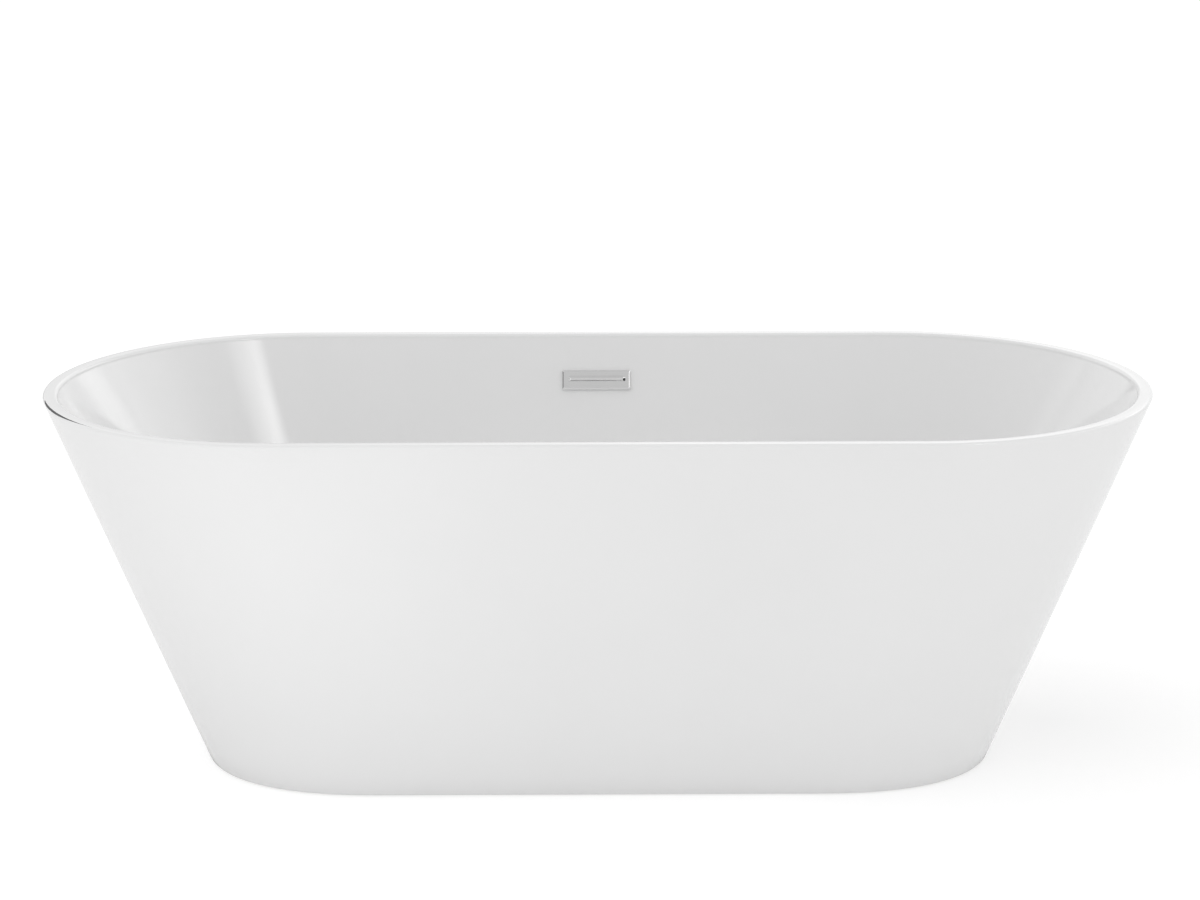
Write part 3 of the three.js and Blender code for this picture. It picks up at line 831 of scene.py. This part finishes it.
def cross_recess(size, depth, top):
    """The two blades of a screw's cross recess, cut down from a height."""
    blades = []
    for quarter in (0, 1):
        rings = []
        for a, b, z in ((size / 2, size / 7, top + 0.2), (size / 5, size / 9, top - depth)):
            x, y = (a, b) if quarter else (b, a)
            rings.append([(x, y, z), (-x, y, z), (-x, -y, z), (x, -y, z)])
        blades.append(lofted(rings))
    return blades


# ---------- frame under the well

FRAME_TOP, FRAME_BOTTOM = 119, 94
TUBE_SIDE, TUBE_WALL = 25, 1.5
FOOT_X, BRACKET_X, SCREW_Y = 430, 300, 70
UNDER_RAIL = FRAME_BOTTOM - 0.3
FEET = [f"{side}_{end}" for side in ("front", "back") for end in ("left", "right")]


def square_tube(length):
    """A tube along X with round corners, open at both ends."""
    half, middle = length / 2, (FRAME_TOP + FRAME_BOTTOM) / 2
    line = [(half - 0.3, 0), (half, 0.3), (half, TUBE_WALL - 0.3), (half - 0.3, TUBE_WALL)]
    rings = []
    for sign, part in ((1, line), (-1, line[::-1])):
        for x, inset in part:
            side = TUBE_SIDE - 2 * inset
            ring = rectangle_ring(side, side, max(2.6 - inset, 1.1), 0, 5)
            rings.append([(sign * x, a, middle + b) for a, b, _ in ring])
    return lofted(rings, closed=True)


def crossbar_weld(x, y):
    """A rippled bead round the sides and the bottom of a crossbar's end."""
    corners = [(-12.9, 117.5), (-12.9, 95.6), (-11.2, 93.7), (11.2, 93.7), (12.9, 95.6), (12.9, 117.5)]
    path = []
    for a, b in zip(corners, corners[1:]):
        steps = max(2, round((Vector(b) - Vector(a)).length / 0.55))
        shares = [i / steps for i in range(steps)]
        path += [Vector((x + mix(a[0], b[0], s), y, mix(a[1], b[1], s))) for s in shares]

    def thickness(i):
        end = min(1.0, (i + 0.5) / 4, (len(path) - i - 0.5) / 4)
        return end * (1.75 + 0.35 * abs(sin(i * 0.95 + 0.4 * sin(i * 0.31))))

    return lofted(swept(path, thickness, 10))


def make_crossbar(number):
    """A crossbar, and the weld beads at its ends."""
    node = f"crossbar_{number}"
    low, high = box_of(node)
    length = high[1] - low[1] + 0.56
    x = centre(node).x
    tube = placed(square_tube(length), Matrix.Rotation(pi / 2, 3, "Z"), (x, 0, 0))
    cuts = [hole(2.9, 90, 122, x, side * SCREW_Y) for side in (-1, 1)] if number in (1, 4) else []
    make(node + "_tube", tube, STEEL, node, cuts=cuts)
    return [crossbar_weld(x, side * length / 2) for side in (-1, 1)]


def boss_weld(foot):
    """A rippled bead round the top of a foot's boss."""
    x, y, _ = centre("foot_boss_" + foot)
    z = heights_of("foot_boss_" + foot)[1] - 0.4
    angles = [2 * pi * i / 120 for i in range(120)]
    reach = [hexagon(angle, 19) + 0.3 for angle in angles]
    ring = [Vector((x + r * cos(a), y + r * sin(a), z)) for r, a in zip(reach, angles)]
    return lofted(swept(ring + ring[:1], lambda i: 1.35 + 0.25 * abs(sin(i * 0.55)), 8))


holes = (5.4, -FOOT_X), (5.4, FOOT_X), (3.3, -BRACKET_X), (3.3, BRACKET_X)
for node in ("rail_front", "rail_back"):
    low, high = box_of(node)
    y = centre(node).y
    tube = placed(square_tube(high[0] - low[0]), move=(0, y, 0))
    make(node + "_tube", tube, STEEL, node, cuts=[hole(radius, 90, 97, x, y) for radius, x in holes])
welds = [bead for number in range(1, 5) for bead in make_crossbar(number)]
welds += [boss_weld(foot) for foot in FEET]
make("weld_beads", together(*welds), STEEL)

low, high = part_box("base_board")
size = (high - low) / MM
board = slab(size.x, size.y, 40, low.z / MM, high.z / MM, 0.8, 16)
make("base_board_panel", board, WOOD, "base_board", cuts=[hole(48, 110, 140)])


def bracket_body():
    """An angle from under the rail out to the shell, along +Y, with round bends."""
    thick, tab, reach = 3, 40, 128
    top, bottom = UNDER_RAIL, UNDER_RAIL - thick

    def face(z):
        return skirt_inner_y(z) - 0.6

    # Each corner with the radius of its bend, and the steps round it.
    corners = [
        ((reach, top), 0.5, 2),
        ((reach, bottom), 0.5, 2),
        ((face(bottom) - thick, bottom), 3.0, 6),
        ((face(tab) - thick, tab), 0.5, 2),
        ((face(tab), tab), 0.5, 2),
        ((face(top), top), 6.0, 8),
    ]
    line = []
    for i, (corner, radius, steps) in enumerate(corners):
        line += round_corner(corners[i - 1][0], corner, corners[(i + 1) % len(corners)][0], radius, steps)
    middle = [sum(values) / len(line) for values in zip(*line)]
    rings = []
    for x, inset in ((-12.5, 0.4), (-12.1, 0), (12.1, 0), (12.5, 0.4)):
        shrink = 1 - inset / 60
        rings.append([(x, mix(middle[0], a, shrink), mix(middle[1], b, shrink)) for a, b in line])
    return lofted(rings)


def hex_screw(seat, tip):
    """Its head hangs below seat, and its shank stands above it, up to its tip."""
    across, head, radius, pitch, washer = 10, 4, 3, 1, 0.5
    corner, length = across / sqrt(3), tip - seat
    profile = [(0, seat - head), (across * 0.46, seat - head), (corner, seat - head * 0.78)]
    profile += [(corner, seat - washer), (corner + 0.9, seat - washer), (corner + 0.9, seat)]
    profile += [(radius, seat)] + [(radius, z) for z in levels(seat + 0.2, seat + length - 1, pitch / 6)]
    profile += [(radius - 0.8, seat + length), (0, seat + length)]
    thread = threaded(radius, pitch, 0.55, low=seat)

    def shape(angle, r, z):
        on_head = z < seat - washer + 0.1 and r <= corner
        return min(r, hexagon(angle, across)) if on_head else thread(angle, r, z)

    return turned(profile, 48, shape)


def wood_screw(bottom, tip):
    """Its countersunk head is under the crossbar, and its thread is in the board."""
    head = [(0, bottom), (3.2, bottom), (5, UNDER_RAIL - 1.4), (5, UNDER_RAIL), (2.5, UNDER_RAIL)]
    shank = [(2.5, z) for z in levels(UNDER_RAIL + 1, tip - 4, 0.35)] + [(1.2, tip - 1.5), (0, tip)]
    return turned(rounded(head, 1.0, closed=False) + shank, 32, threaded(2.5, 2.1, 0.8, low=116))


bracket = bracket_body()
for foot in FEET:
    front = foot.startswith("front")
    node = "skirt_bracket_" + foot
    x = centre(node).x
    arm = placed(bracket, Matrix.Rotation(pi if front else 0, 3, "Z"), (x, 0, 0))
    make("bracket_" + foot, arm, STEEL, node, cuts=[hole(3.3, 88, 96, x, -140 if front else 140)])

    node = "bracket_screw_" + foot
    x, y, _ = centre(node)
    seat = FRAME_BOTTOM - 3.6
    screw = placed(hex_screw(seat, heights_of(node)[1]), move=(x, y, 0))
    make("hex_screw_" + foot, screw, STAINLESS, node)

    node = "board_screw_" + foot
    x, y, _ = centre(node)
    bottom, tip = heights_of(node)
    upside_down = Matrix.Rotation(pi, 3, "X")
    recess = [placed(blade, upside_down, (x, y, 0)) for blade in cross_recess(5.2, 1.7, -bottom)]
    screw = placed(wood_screw(bottom, tip), move=(x, y, 0))
    make("board_fixing_" + foot, screw, STAINLESS, node, cuts=recess)

# ---------- levelling feet


def pad_body():
    """A ribbed rubber pad with a grooved sole and a socket."""
    groove = 0.9
    sole = [(0, groove)]
    for radius in (5, 9, 13, 17):
        sole += [(radius, groove), (radius + 0.5, 0), (radius + 2.2, 0), (radius + 2.7, groove)]
    sole += [(21, groove), (21.5, 0), (23.2, 0), (24.2, 0), (25, groove)]
    side = [(25, 1.6), (25, 4.4), (24.6, 5.2), (22.4, 7.6), (21.2, 8.4), (13.6, 12.4), (11.6, 13.6)]
    socket = [(10.6, 14), (6.4, 14), (5.6, 13.2), (5.6, 5), (0, 5)]

    def ribs(angle, radius, z):
        if radius > 24.9 and 1.5 < z < 4.5:
            return radius - 0.7 * (0.5 - 0.5 * cos(40 * angle)) ** 2
        return radius

    return turned(sole + side + socket, 160, ribs)


def stud_body():
    """A threaded stud with a hexagon to turn it by."""
    across, narrow = 17, 8.1
    corner = across / sqrt(3)
    profile = [(0, 5.3), (3.5, 5.3), (5, 6.8), (5, 15)]
    profile += [(mix(narrow, corner, i / 4), 15 + i / 4) for i in range(5)]
    profile += [(mix(corner, narrow, i / 4), 21 + i / 4) for i in range(5)]
    profile += [(5, 22)] + [(5, z) for z in levels(22.4, 104, 0.25)] + [(4, 105), (0, 105)]
    thread = threaded(5, 1.5, 0.85, low=23)

    def shape(angle, radius, z):
        return min(radius, hexagon(angle, across)) if radius > 5.5 else thread(angle, radius, z)

    return turned(profile, 48, shape)


pad, stud = pad_body(), stud_body()
jam_nut, boss = chamfered_hex(17, 71.7, 79.7, 5.4), chamfered_hex(19, 80, 93.7, 5.4)
for foot in FEET:
    x, y, _ = centre("foot_pad_" + foot)
    for body, name, look, rides_on, node in (
        (pad, "rubber_pad_", RUBBER, "pad_" + foot, "foot_pad_"),
        (stud, "threaded_stud_", STAINLESS, "stud_" + foot, "foot_stud_"),
        (jam_nut, "jam_nut_", STAINLESS, TUB, "foot_jam_nut_"),
        (boss, "threaded_boss_", STEEL, TUB, "foot_boss_"),
    ):
        make(name + foot, placed(body, move=(x, y, 0)), look, node + foot, rides_on=rides_on)

# ---------- waste

INLET_HEIGHT = 76
HOSE_BORE = 6.4


def flange_body():
    top, seat, outside = FLOOR_DRAIN, 141.3, 24.7
    tail = [(outside, z) for z in levels(105, 134, 0.4)]
    lip = [(outside, 136), (outside, seat), (35, seat), (35, top - 0.3), (34, top), (25.5, top)]
    lip += [(23, top - 1.4), (21.8, top - 5), (21.5, top - 10)]
    bore = [(21.5, 104.5), (21.9, 104), (24, 104)]
    profile = tail + rounded(lip, 0.8, 4, closed=False) + bore
    return turned(profile, 96, threaded(outside, 2.0, 0.9, high=134.1))


def tee_body():
    """The waste's lower body, with ribs to grip it by and a thread for the slip nut."""
    thread = threaded(22.5, 3.0, 0.9, high=60)

    def shape(angle, radius, z):
        if radius > 29.5 and z > 101:
            return radius - 0.9 * (cos(12 * angle) < 0.2)
        return thread(angle, radius, z)

    outline = [(25, 121.7), (25, 103), (19.3, 98), (19.3, 40)]
    outline += [(22.5, 40), (22.5, 94), (30, 99), (30, 121.7)]
    line = rounded(outline, 0.9, 3)
    after_fifth = 5 * 4  # each rounded corner is four points
    line[after_fifth:after_fifth] = [(22.5, z) for z in levels(42, 60, 0.5)]
    return turned(line, 96, shape)


def barbed(start, first, tip, end):
    """The outline of a hose spigot with three barbs and a tapered tip."""
    line = [(0, start), (8, start), (8, first - 2)]
    for i in range(3):
        line += [(8.5, first + 5 * i), (7.6, first + 5 * i + 4.6)]
    return line + [(8.3, tip), (7.4, end), (0, end)]


def slip_nut_body():
    outline = [(19.3, 28), (27, 28), (28, 30), (28, 42), (27, 44), (22.8, 44), (22.8, 33.7), (19.3, 33.7)]

    def grip(angle, radius, z):
        grooved = radius > 26.5 and 28.5 < z < 43.5
        return radius - 1.1 * max(0.0, cos(18 * angle)) ** 4 if grooved else radius

    return turned(rounded(outline, 0.8, 3), 216, grip)


make("waste_flange", flange_body(), CHROME, "drain_flange")
make("flange_seal", rounded_ring(25.4, 34.2, 139.8, 141, 0.4), RUBBER, "drain_gasket_upper")
make("well_seal", rounded_ring(25, 40, 131.3, 134.3, 1), RUBBER, "drain_gasket_lower")
make("waste_locknut", chamfered_hex(72, 122, 131, 25), BLACK_PLASTIC, "drain_locknut")
to_back = turn_to((0, 1, 0))
inlet = (0, 0, INLET_HEIGHT)
spigot = placed(turned(barbed(20, 48, 63.5, 66), 48), to_back, inlet)
bore = placed(hole(HOSE_BORE, 10, 70, segments=48), to_back, inlet)
make("waste_tee_body", tee_body(), BLACK_PLASTIC, "waste_tee", joins=[spigot], cuts=[bore])
make("slip_nut", slip_nut_body(), BLACK_PLASTIC, "waste_slip_nut")
make("slip_washer", rounded_ring(19.3, 22.5, 34, 39.7, 0.7), RUBBER, "waste_washer")
make("tailpiece", rounded_ring(16.2, 19, 14, 60, 0.9), WHITE_PLASTIC, "waste_tailpiece")
spoke = placed(slab(14.6, 3, 1.2, 112, 122, 0.5, 3), move=(12.8, 0, 0))
joins = [placed(spoke, Matrix.Rotation(turn * 2 * pi / 3, 3, "Z")) for turn in range(3)]
joins.append(rounded_ring(4.4, 8, 108, 126, 0.7, 64))
guide = rounded_ring(19.4, 21.2, 110, 124, 0.6)
make("stopper_guide", guide, WHITE_PLASTIC, "stopper_cartridge", joins=joins)


def cap_body():
    low, high = heights_of("stopper_cap")
    shoulder = low + 3.0
    rim = rounded([(0, low), (31.5, low), (33, low + 0.9), (33, low + 2.1)], 0.5, 4, closed=False)
    dome = [(31.6 * cos(a), shoulder + (high - low - 3.0) * sin(a)) for a in quarter_turn(14)]
    return turned(rim + [(32.5, low + 2.7)] + dome, 128)


def seal_body():
    low, high = heights_of("stopper_seal")
    return turned(rounded([(9.3, low), (29.4, low), (31, low + 1.0), (31, high), (9.3, high)], 0.7, 3), 96)


def rod_body():
    low, high = heights_of("stopper_stem")
    hub = heights_of("stopper_seal")[0] - 2.3
    line = [(0, low), (3.2, low), (4, low + 1), (4, hub), (9, hub), (9, high), (0, high)]
    return turned(rounded(line, 0.5, 3, closed=False))


make("stopper_dome", cap_body(), CHROME, "stopper_cap", rides_on="stopper")
make("stopper_ring", seal_body(), RUBBER, "stopper_seal", rides_on="stopper")
make("stopper_rod", rod_body(), STAINLESS, "stopper_stem", rides_on="stopper")

TRAVEL, WIRE = 9.0, 0.8
spring_low, spring_high = heights_of("stopper_spring")


def spring_path():
    """A helix of five turns, with a closed coil at each end."""
    steps = 36
    count = 5 * steps
    path = []
    for i in range(count + 1):
        share = i / count
        rise = share + 0.09 * sin(2 * pi * share)
        angle = 2 * pi * i / steps
        z = mix(spring_low + WIRE, spring_high - WIRE, rise)
        path.append(Vector((6.3 * cos(angle), 6.3 * sin(angle), z)))
    return path


spring = make("push_spring", lofted(swept(spring_path(), lambda i: WIRE, 10)), STAINLESS, "stopper_spring")
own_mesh(spring)

# ---------- overflow behind the wall

GASKET_FACE = -WALL_DEPTH - 0.3
BODY_FACE = GASKET_FACE - 2.3
BODY_BACK = BODY_FACE - 11


def behind_wall(z):
    """The middle of the space between well and shell."""
    return Vector((0, (wall_y(z) + WELL_WALL + skirt_inner_y(z)) / 2, z))


def rod_between(start, end, profile):
    """A turned body whose profile's heights run from start towards end."""
    return placed(turned(profile, 48), turn_to(end - start), start)


def make_cover_screw(side, x):
    seat = 2.4
    line = [(0, BODY_FACE - 1.8)] + [(2, z) for z in levels(BODY_FACE - 1.6, seat - 0.6, 0.2)]
    line += [(2, seat), (3.6, seat), (3.5, seat + 0.3), (2.9, seat + 0.6), (0, seat + 0.6)]
    blank = turned(line, 32, threaded(2, 0.8, 0.4, high=1.5))
    recess = cross_recess(3.2, 0.5, seat + 0.6)
    screw, *cuts = [on_wall(placed(body, move=(x, 0, 0))) for body in (blank, *recess)]
    make("cover_screw_" + side, screw, STAINLESS, "overflow_screw_" + side, cuts=cuts)


clamp_frame = on_wall(slab(105, 25, 2, 0.3, 2.1, 0.3))
make("clamp_frame", clamp_frame, STAINLESS, "overflow_frame", cuts=wall_opening(5))
wall_seal = on_wall(slab(106, 28, 3, GASKET_FACE - 2, GASKET_FACE, 0.5))
make("wall_seal", wall_seal, RUBBER, "overflow_gasket", cuts=wall_opening(5))

# The chest behind the wall has ribs, screw pilots and a spigot for the hose.
flange = on_wall(slab(106, 28, 3, BODY_FACE - 2, BODY_FACE, 0.4))
box = on_wall(slab(88, 22, 5, BODY_BACK, BODY_FACE - 1, 1.2))
start, end = behind_wall(501.5), behind_wall(420)
reach = (end - start).length
spigot = rod_between(start, end, barbed(0, reach - 20, reach - 2.4, reach))
rib = on_wall(slab(1.6, 25, 0.5, BODY_FACE - 8, BODY_FACE - 1.5, 0.3, 2))
joins = [box, spigot, *(placed(rib, move=(x, 0, 0)) for x in (-30, 30))]
hollow = on_wall(slab(84, 18, 4, BODY_BACK + 1.8, BODY_FACE + 1))
start, end = behind_wall(498.5), behind_wall(415)
reach = (end - start).length
bore = rod_between(start, end, [(0, 0), (HOSE_BORE, 0), (HOSE_BORE, reach), (0, reach)])
cuts = [hollow, bore, *screw_holes(2.3, BODY_FACE - 5, 0)]
make("overflow_chest", flange, BLACK_PLASTIC, "overflow_body", joins=joins, cuts=cuts)
make_cover_screw("left", -SCREW_X)
make_cover_screw("right", SCREW_X)

# ---------- overflow hose and its clamps

HOSE_STEP, RIDGE, CUFF = 0.9, 5.4, 27
LOW_POINTS = (0, 247, 160), (0, 222, 112), (0, 176, 82), (0, 125, 76), (0, 85, 76), (0, 44, 76)
HOSE_POINTS = [behind_wall(z) for z in (445, 380, 300, 220)] + [Vector(point) for point in LOW_POINTS]


def between(p, q, start, end, t):
    """The point at t on a line that is at p at start, and at q at end."""
    return p * ((end - t) / (end - start)) + q * ((t - start) / (end - start))


def spline(points):
    """Close points on a centripetal Catmull-Rom spline through the given ones."""
    knots = [points[0] * 2 - points[1], *points, points[-1] * 2 - points[-2]]
    fine = []
    for a, b, c, d in zip(knots, knots[1:], knots[2:], knots[3:]):
        t0 = 0.0
        t1 = t0 + sqrt((b - a).length)
        t2 = t1 + sqrt((c - b).length)
        t3 = t2 + sqrt((d - c).length)
        for i in range(60):
            t = mix(t1, t2, i / 60)
            first = between(a, b, t0, t1, t)
            second = between(b, c, t1, t2, t)
            third = between(c, d, t2, t3, t)
            early = between(first, second, t0, t2, t)
            late = between(second, third, t1, t3, t)
            fine.append(between(early, late, t1, t2, t))
    return fine + points[-1:]


def resampled(fine, step):
    """The same line with its points evenly spaced, about step apart."""
    lengths = [0.0]
    for a, b in zip(fine, fine[1:]):
        lengths.append(lengths[-1] + (b - a).length)
    count = round(lengths[-1] / step)
    line, j = [], 0
    for i in range(count + 1):
        wanted = lengths[-1] * i / count
        while j < len(lengths) - 2 and lengths[j + 1] < wanted:
            j += 1
        share = (wanted - lengths[j]) / (lengths[j + 1] - lengths[j])
        line.append(fine[j].lerp(fine[j + 1], share))
    return line


hose_line = resampled(spline(HOSE_POINTS), HOSE_STEP)


def ridges(i):
    """0 in a groove of the hose, 1 on a ridge. Its cuffs are plain."""
    inside = min(i, len(hose_line) - 1 - i) - round(CUFF / HOSE_STEP)
    return 1.0 if inside < 0 else 0.5 + 0.5 * cos(2 * pi * inside * HOSE_STEP / RIDGE)


outer = swept(hose_line, lambda i: 10.0 + 1.2 * ridges(i), 40)
inner = swept(hose_line, lambda i: 8.8 + 0.3 * ridges(i), 40)
make("corrugated_hose", lofted(outer + inner[::-1], closed=True), GREY_HOSE, "overflow_hose")


def clamp_body():
    """A slotted band, its worm housing and its screw, round +Z."""
    half = 4

    def slots(angle, radius, z):
        slotted = radius > 12.2 and abs(z) < half - 1.6 and cos(44 * angle) > 0.35
        return radius - 0.45 if slotted else radius

    heights = [-half, -half + 1.5, -half + 1.7, half - 1.7, half - 1.5, half]
    band = turned([(12.4, z) for z in heights] + [(11.4, half), (11.4, -half)], 352, slots)
    upright = Matrix.Rotation(pi / 2, 3, "X")
    housing = placed(slab(7.2, 9.6, 1.6, -7.5, 7.5, 0.6, 4), upright, (15.2, 0, 0))
    line = [(0, 5), (2.9, 5), (2.9, 8.2), (4.6, 8.2), (4.6, 8.9), (4.04, 8.9)]
    line += [(4.04, 12), (3.4, 12.6), (0, 12.6)]

    def head(angle, radius, z):
        return min(radius, hexagon(angle, 7)) if z > 8.95 else radius

    return together(band, housing, placed(turned(line, 48, head), to_back, (15.4, 0, 0)))


for name, start, end, node in (
    ("upper_clamp", behind_wall(436), behind_wall(428), "hose_clamp_top"),
    ("lower_clamp", Vector((0, 50, INLET_HEIGHT)), Vector((0, 58, INLET_HEIGHT)), "hose_clamp_bottom"),
):
    make(name, placed(clamp_body(), turn_to(end - start), (start + end) / 2), STAINLESS, node)

# ---------- stage, light and camera


def stage_floor():
    half = 60.0
    mesh = bpy.data.meshes.new("floor")
    corners = [(-half, -half, 0), (half, -half, 0), (half, half, 0), (-half, half, 0)]
    mesh.from_pydata(corners, [], [(0, 1, 2, 3)])
    look = bpy.data.materials.new("floor_paint")
    look.use_nodes = True
    nodes = Nodes(look.node_tree)
    # What the tub sees of it: white paint, lifted a little.
    paint = nodes.add("BsdfDiffuse", {"Color": grey(0.9)})
    lift = nodes.add("Emission", {"Color": grey(1.0), "Strength": 0.045})
    paint = nodes.add("AddShader", {0: paint.outputs[0], 1: lift.outputs[0]})
    # What the camera sees: nearly white, with the tub's faint shadow, and a soft shadow on the right that
    # is painted in by a weaker glow there.
    thin = nodes.add("BsdfDiffuse", {"Color": grey(0.34)})
    # Painted shadow: the glow is weaker near a point to the right of the tub.
    place = nodes.add("VectorMath", {0: nodes.coordinates(), 1: (-0.72, -0.1, 0.0)}, operation="ADD")
    painted_shade_distance = nodes.add("VectorMath", {0: place.outputs[0]}, operation="LENGTH").outputs["Value"]
    glow_with_painted_shadow = nodes.add("Emission", {"Color": grey(1.0)})
    nodes.put(glow_with_painted_shadow.inputs["Strength"], nodes.spread(painted_shade_distance, 0.60, 0.74, 0.0, 0.6))
    seen = nodes.add("AddShader", {0: thin.outputs[0], 1: glow_with_painted_shadow.outputs[0]})
    camera_ray = nodes.add("LightPath").outputs["Is Camera Ray"]
    choice = nodes.add("MixShader", {0: camera_ray, 1: paint.outputs[0], 2: seen.outputs[0]})
    # From below, the camera sees through it.
    clear = nodes.add("BsdfTransparent")
    below = nodes.times(nodes.add("NewGeometry").outputs["Backfacing"], camera_ray)
    whole = nodes.add("MixShader", {0: below, 1: choice.outputs[0], 2: clear.outputs[0]})
    nodes.add("OutputMaterial", {"Surface": whole.outputs[0]})
    mesh.materials.append(look)
    linked(bpy.data.objects.new("floor", mesh))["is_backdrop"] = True


def studio_world():
    """Soft white light all round. Gloss sees a studio with soft boxes instead."""
    world = bpy.data.worlds.new("studio")
    bpy.context.scene.world = world
    world.use_nodes = True
    nodes = Nodes(world.node_tree)
    spread, times, blend = nodes.spread, nodes.times, nodes.blend
    direction = nodes.add("TexCoord").outputs["Generated"]
    x, y, z = nodes.add("SeparateXYZ", {0: direction}).outputs
    # A compass direction in degrees, from the back (+Y) towards the right (+X).
    compass = times(nodes.maths("ARCTAN2", x, y), 180 / pi)

    def window(value, start, full, full_end, end):
        """0 outside start to end, 1 between the two middle values."""
        return times(spread(value, 0.0, 1.0, start, full), spread(value, 1.0, 0.0, full_end, end))

    def patch(across, up):
        """1 in a soft-edged patch, given by its compass directions and its heights."""
        return times(window(compass, *across), window(z, *up))

    # Behind, it is dark at the left and bright at the right. Above and in front, it is grey.
    rear = times(spread(compass, 0.34, 1.12, -14, 2.0), spread(z, 1.0, 1.3, 0.215, 0.25))
    ahead = spread(y, 0.60, 0.78, -0.9, 0.2)
    behind_and_low = times(spread(y, 0.0, 1.0, 0.2, 0.6), spread(z, 1.0, 0.0, 0.35, 0.6))
    gloss = blend(behind_and_low, ahead, rear)
    gloss = blend(spread(z, 0.0, 1.0, 0.72, 0.86), gloss, grey(0.56))
    dark_left = patch((-112, -100, -80, -74), (-0.2, -0.1, 0.2, 0.3))
    gloss = blend(dark_left, gloss, grey(0.3))
    # Three soft boxes: a tall strip in front and a panel on each side, which a faint bar crosses.
    strip = patch((132, 150, 152, 158), (0.36, 0.46, 0.585, 0.635))
    right = patch((25, 40, 90, 125), (0.15, 0.3, 0.5, 0.62))
    left = patch((-74, -62, -20, -5.0), (0.05, 0.15, 0.5, 0.6))
    boxes = times(strip, 6.0)
    for share, radiance in ((right, 1.2), (left, 0.8)):
        boxes = nodes.maths("ADD", boxes, times(share, radiance))
    bar = window(nodes.maths("ABSOLUTE", compass), 51, 54, 57, 61)
    boxes = times(boxes, nodes.maths("SUBTRACT", 1.0, times(bar, 0.4)))
    gloss = blend(1.0, gloss, boxes, "ADD")
    shaded_right = patch((76, 82, 95, 110), (-0.2, -0.1, 0.24, 0.34))
    gloss = blend(shaded_right, gloss, grey(0.60))
    # The soft light is a little darker in front, near the horizon.
    horizon = spread(y, 0.70, 1.02, -1.0, 0.0)
    soft = blend(spread(z, 0.0, 1.0, 0.0, 0.7), horizon, grey(0.995))
    path = nodes.add("LightPath")
    colour = blend(path.outputs["Is Glossy Ray"], soft, gloss)
    colour = blend(path.outputs["Is Camera Ray"], colour, grey(1.0))
    background = nodes.add("Background", {"Color": colour, "Strength": 1.0})
    nodes.add("OutputWorld", {"Surface": background.outputs[0]})


def soft_light(name, place, aim, width, height, power):
    """A rectangular lamp that lights surfaces without showing in their gloss."""
    lamp = bpy.data.lights.new(name, "AREA")
    lamp.shape = "RECTANGLE"
    lamp.size, lamp.size_y, lamp.energy = width, height, power
    lamp.specular_factor = 0.0
    obj = linked(bpy.data.objects.new(name, lamp))
    look = (Vector(aim) - Vector(place)).to_track_quat("-Z", "Y")
    obj.matrix_world = Matrix.Translation(place) @ look.to_matrix().to_4x4()
    obj.visible_camera = obj.visible_glossy = False


stage_floor()
studio_world()
soft_light("low_left", (-0.65, -1.15, 0.38), (-0.6, -0.3, 0.33), 0.7, 0.5, 1.0)
soft_light("low_right", (0.95, -1.15, 0.38), (0.9, -0.3, 0.33), 0.6, 0.5, 0.45)

camera = bpy.data.cameras.new("camera")
camera.lens, camera.sensor_width, camera.clip_end = 95.58, 36, 200
pan, tilt, roll = -0.0071, 0.2406, -0.0015  # from looking along +Y, in radians
turn = Matrix.Rotation(pan, 4, "Z") @ Matrix.Rotation(pi / 2 - tilt, 4, "X") @ Matrix.Rotation(roll, 4, "Z")
eye = linked(bpy.data.objects.new("camera", camera))
eye.matrix_world = Matrix.Translation((-0.03102, -4.79456, 1.65089)) @ turn
bpy.context.scene.camera = eye
view = bpy.context.scene.view_settings
view.view_transform, view.look = "Standard", "None"

low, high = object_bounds()
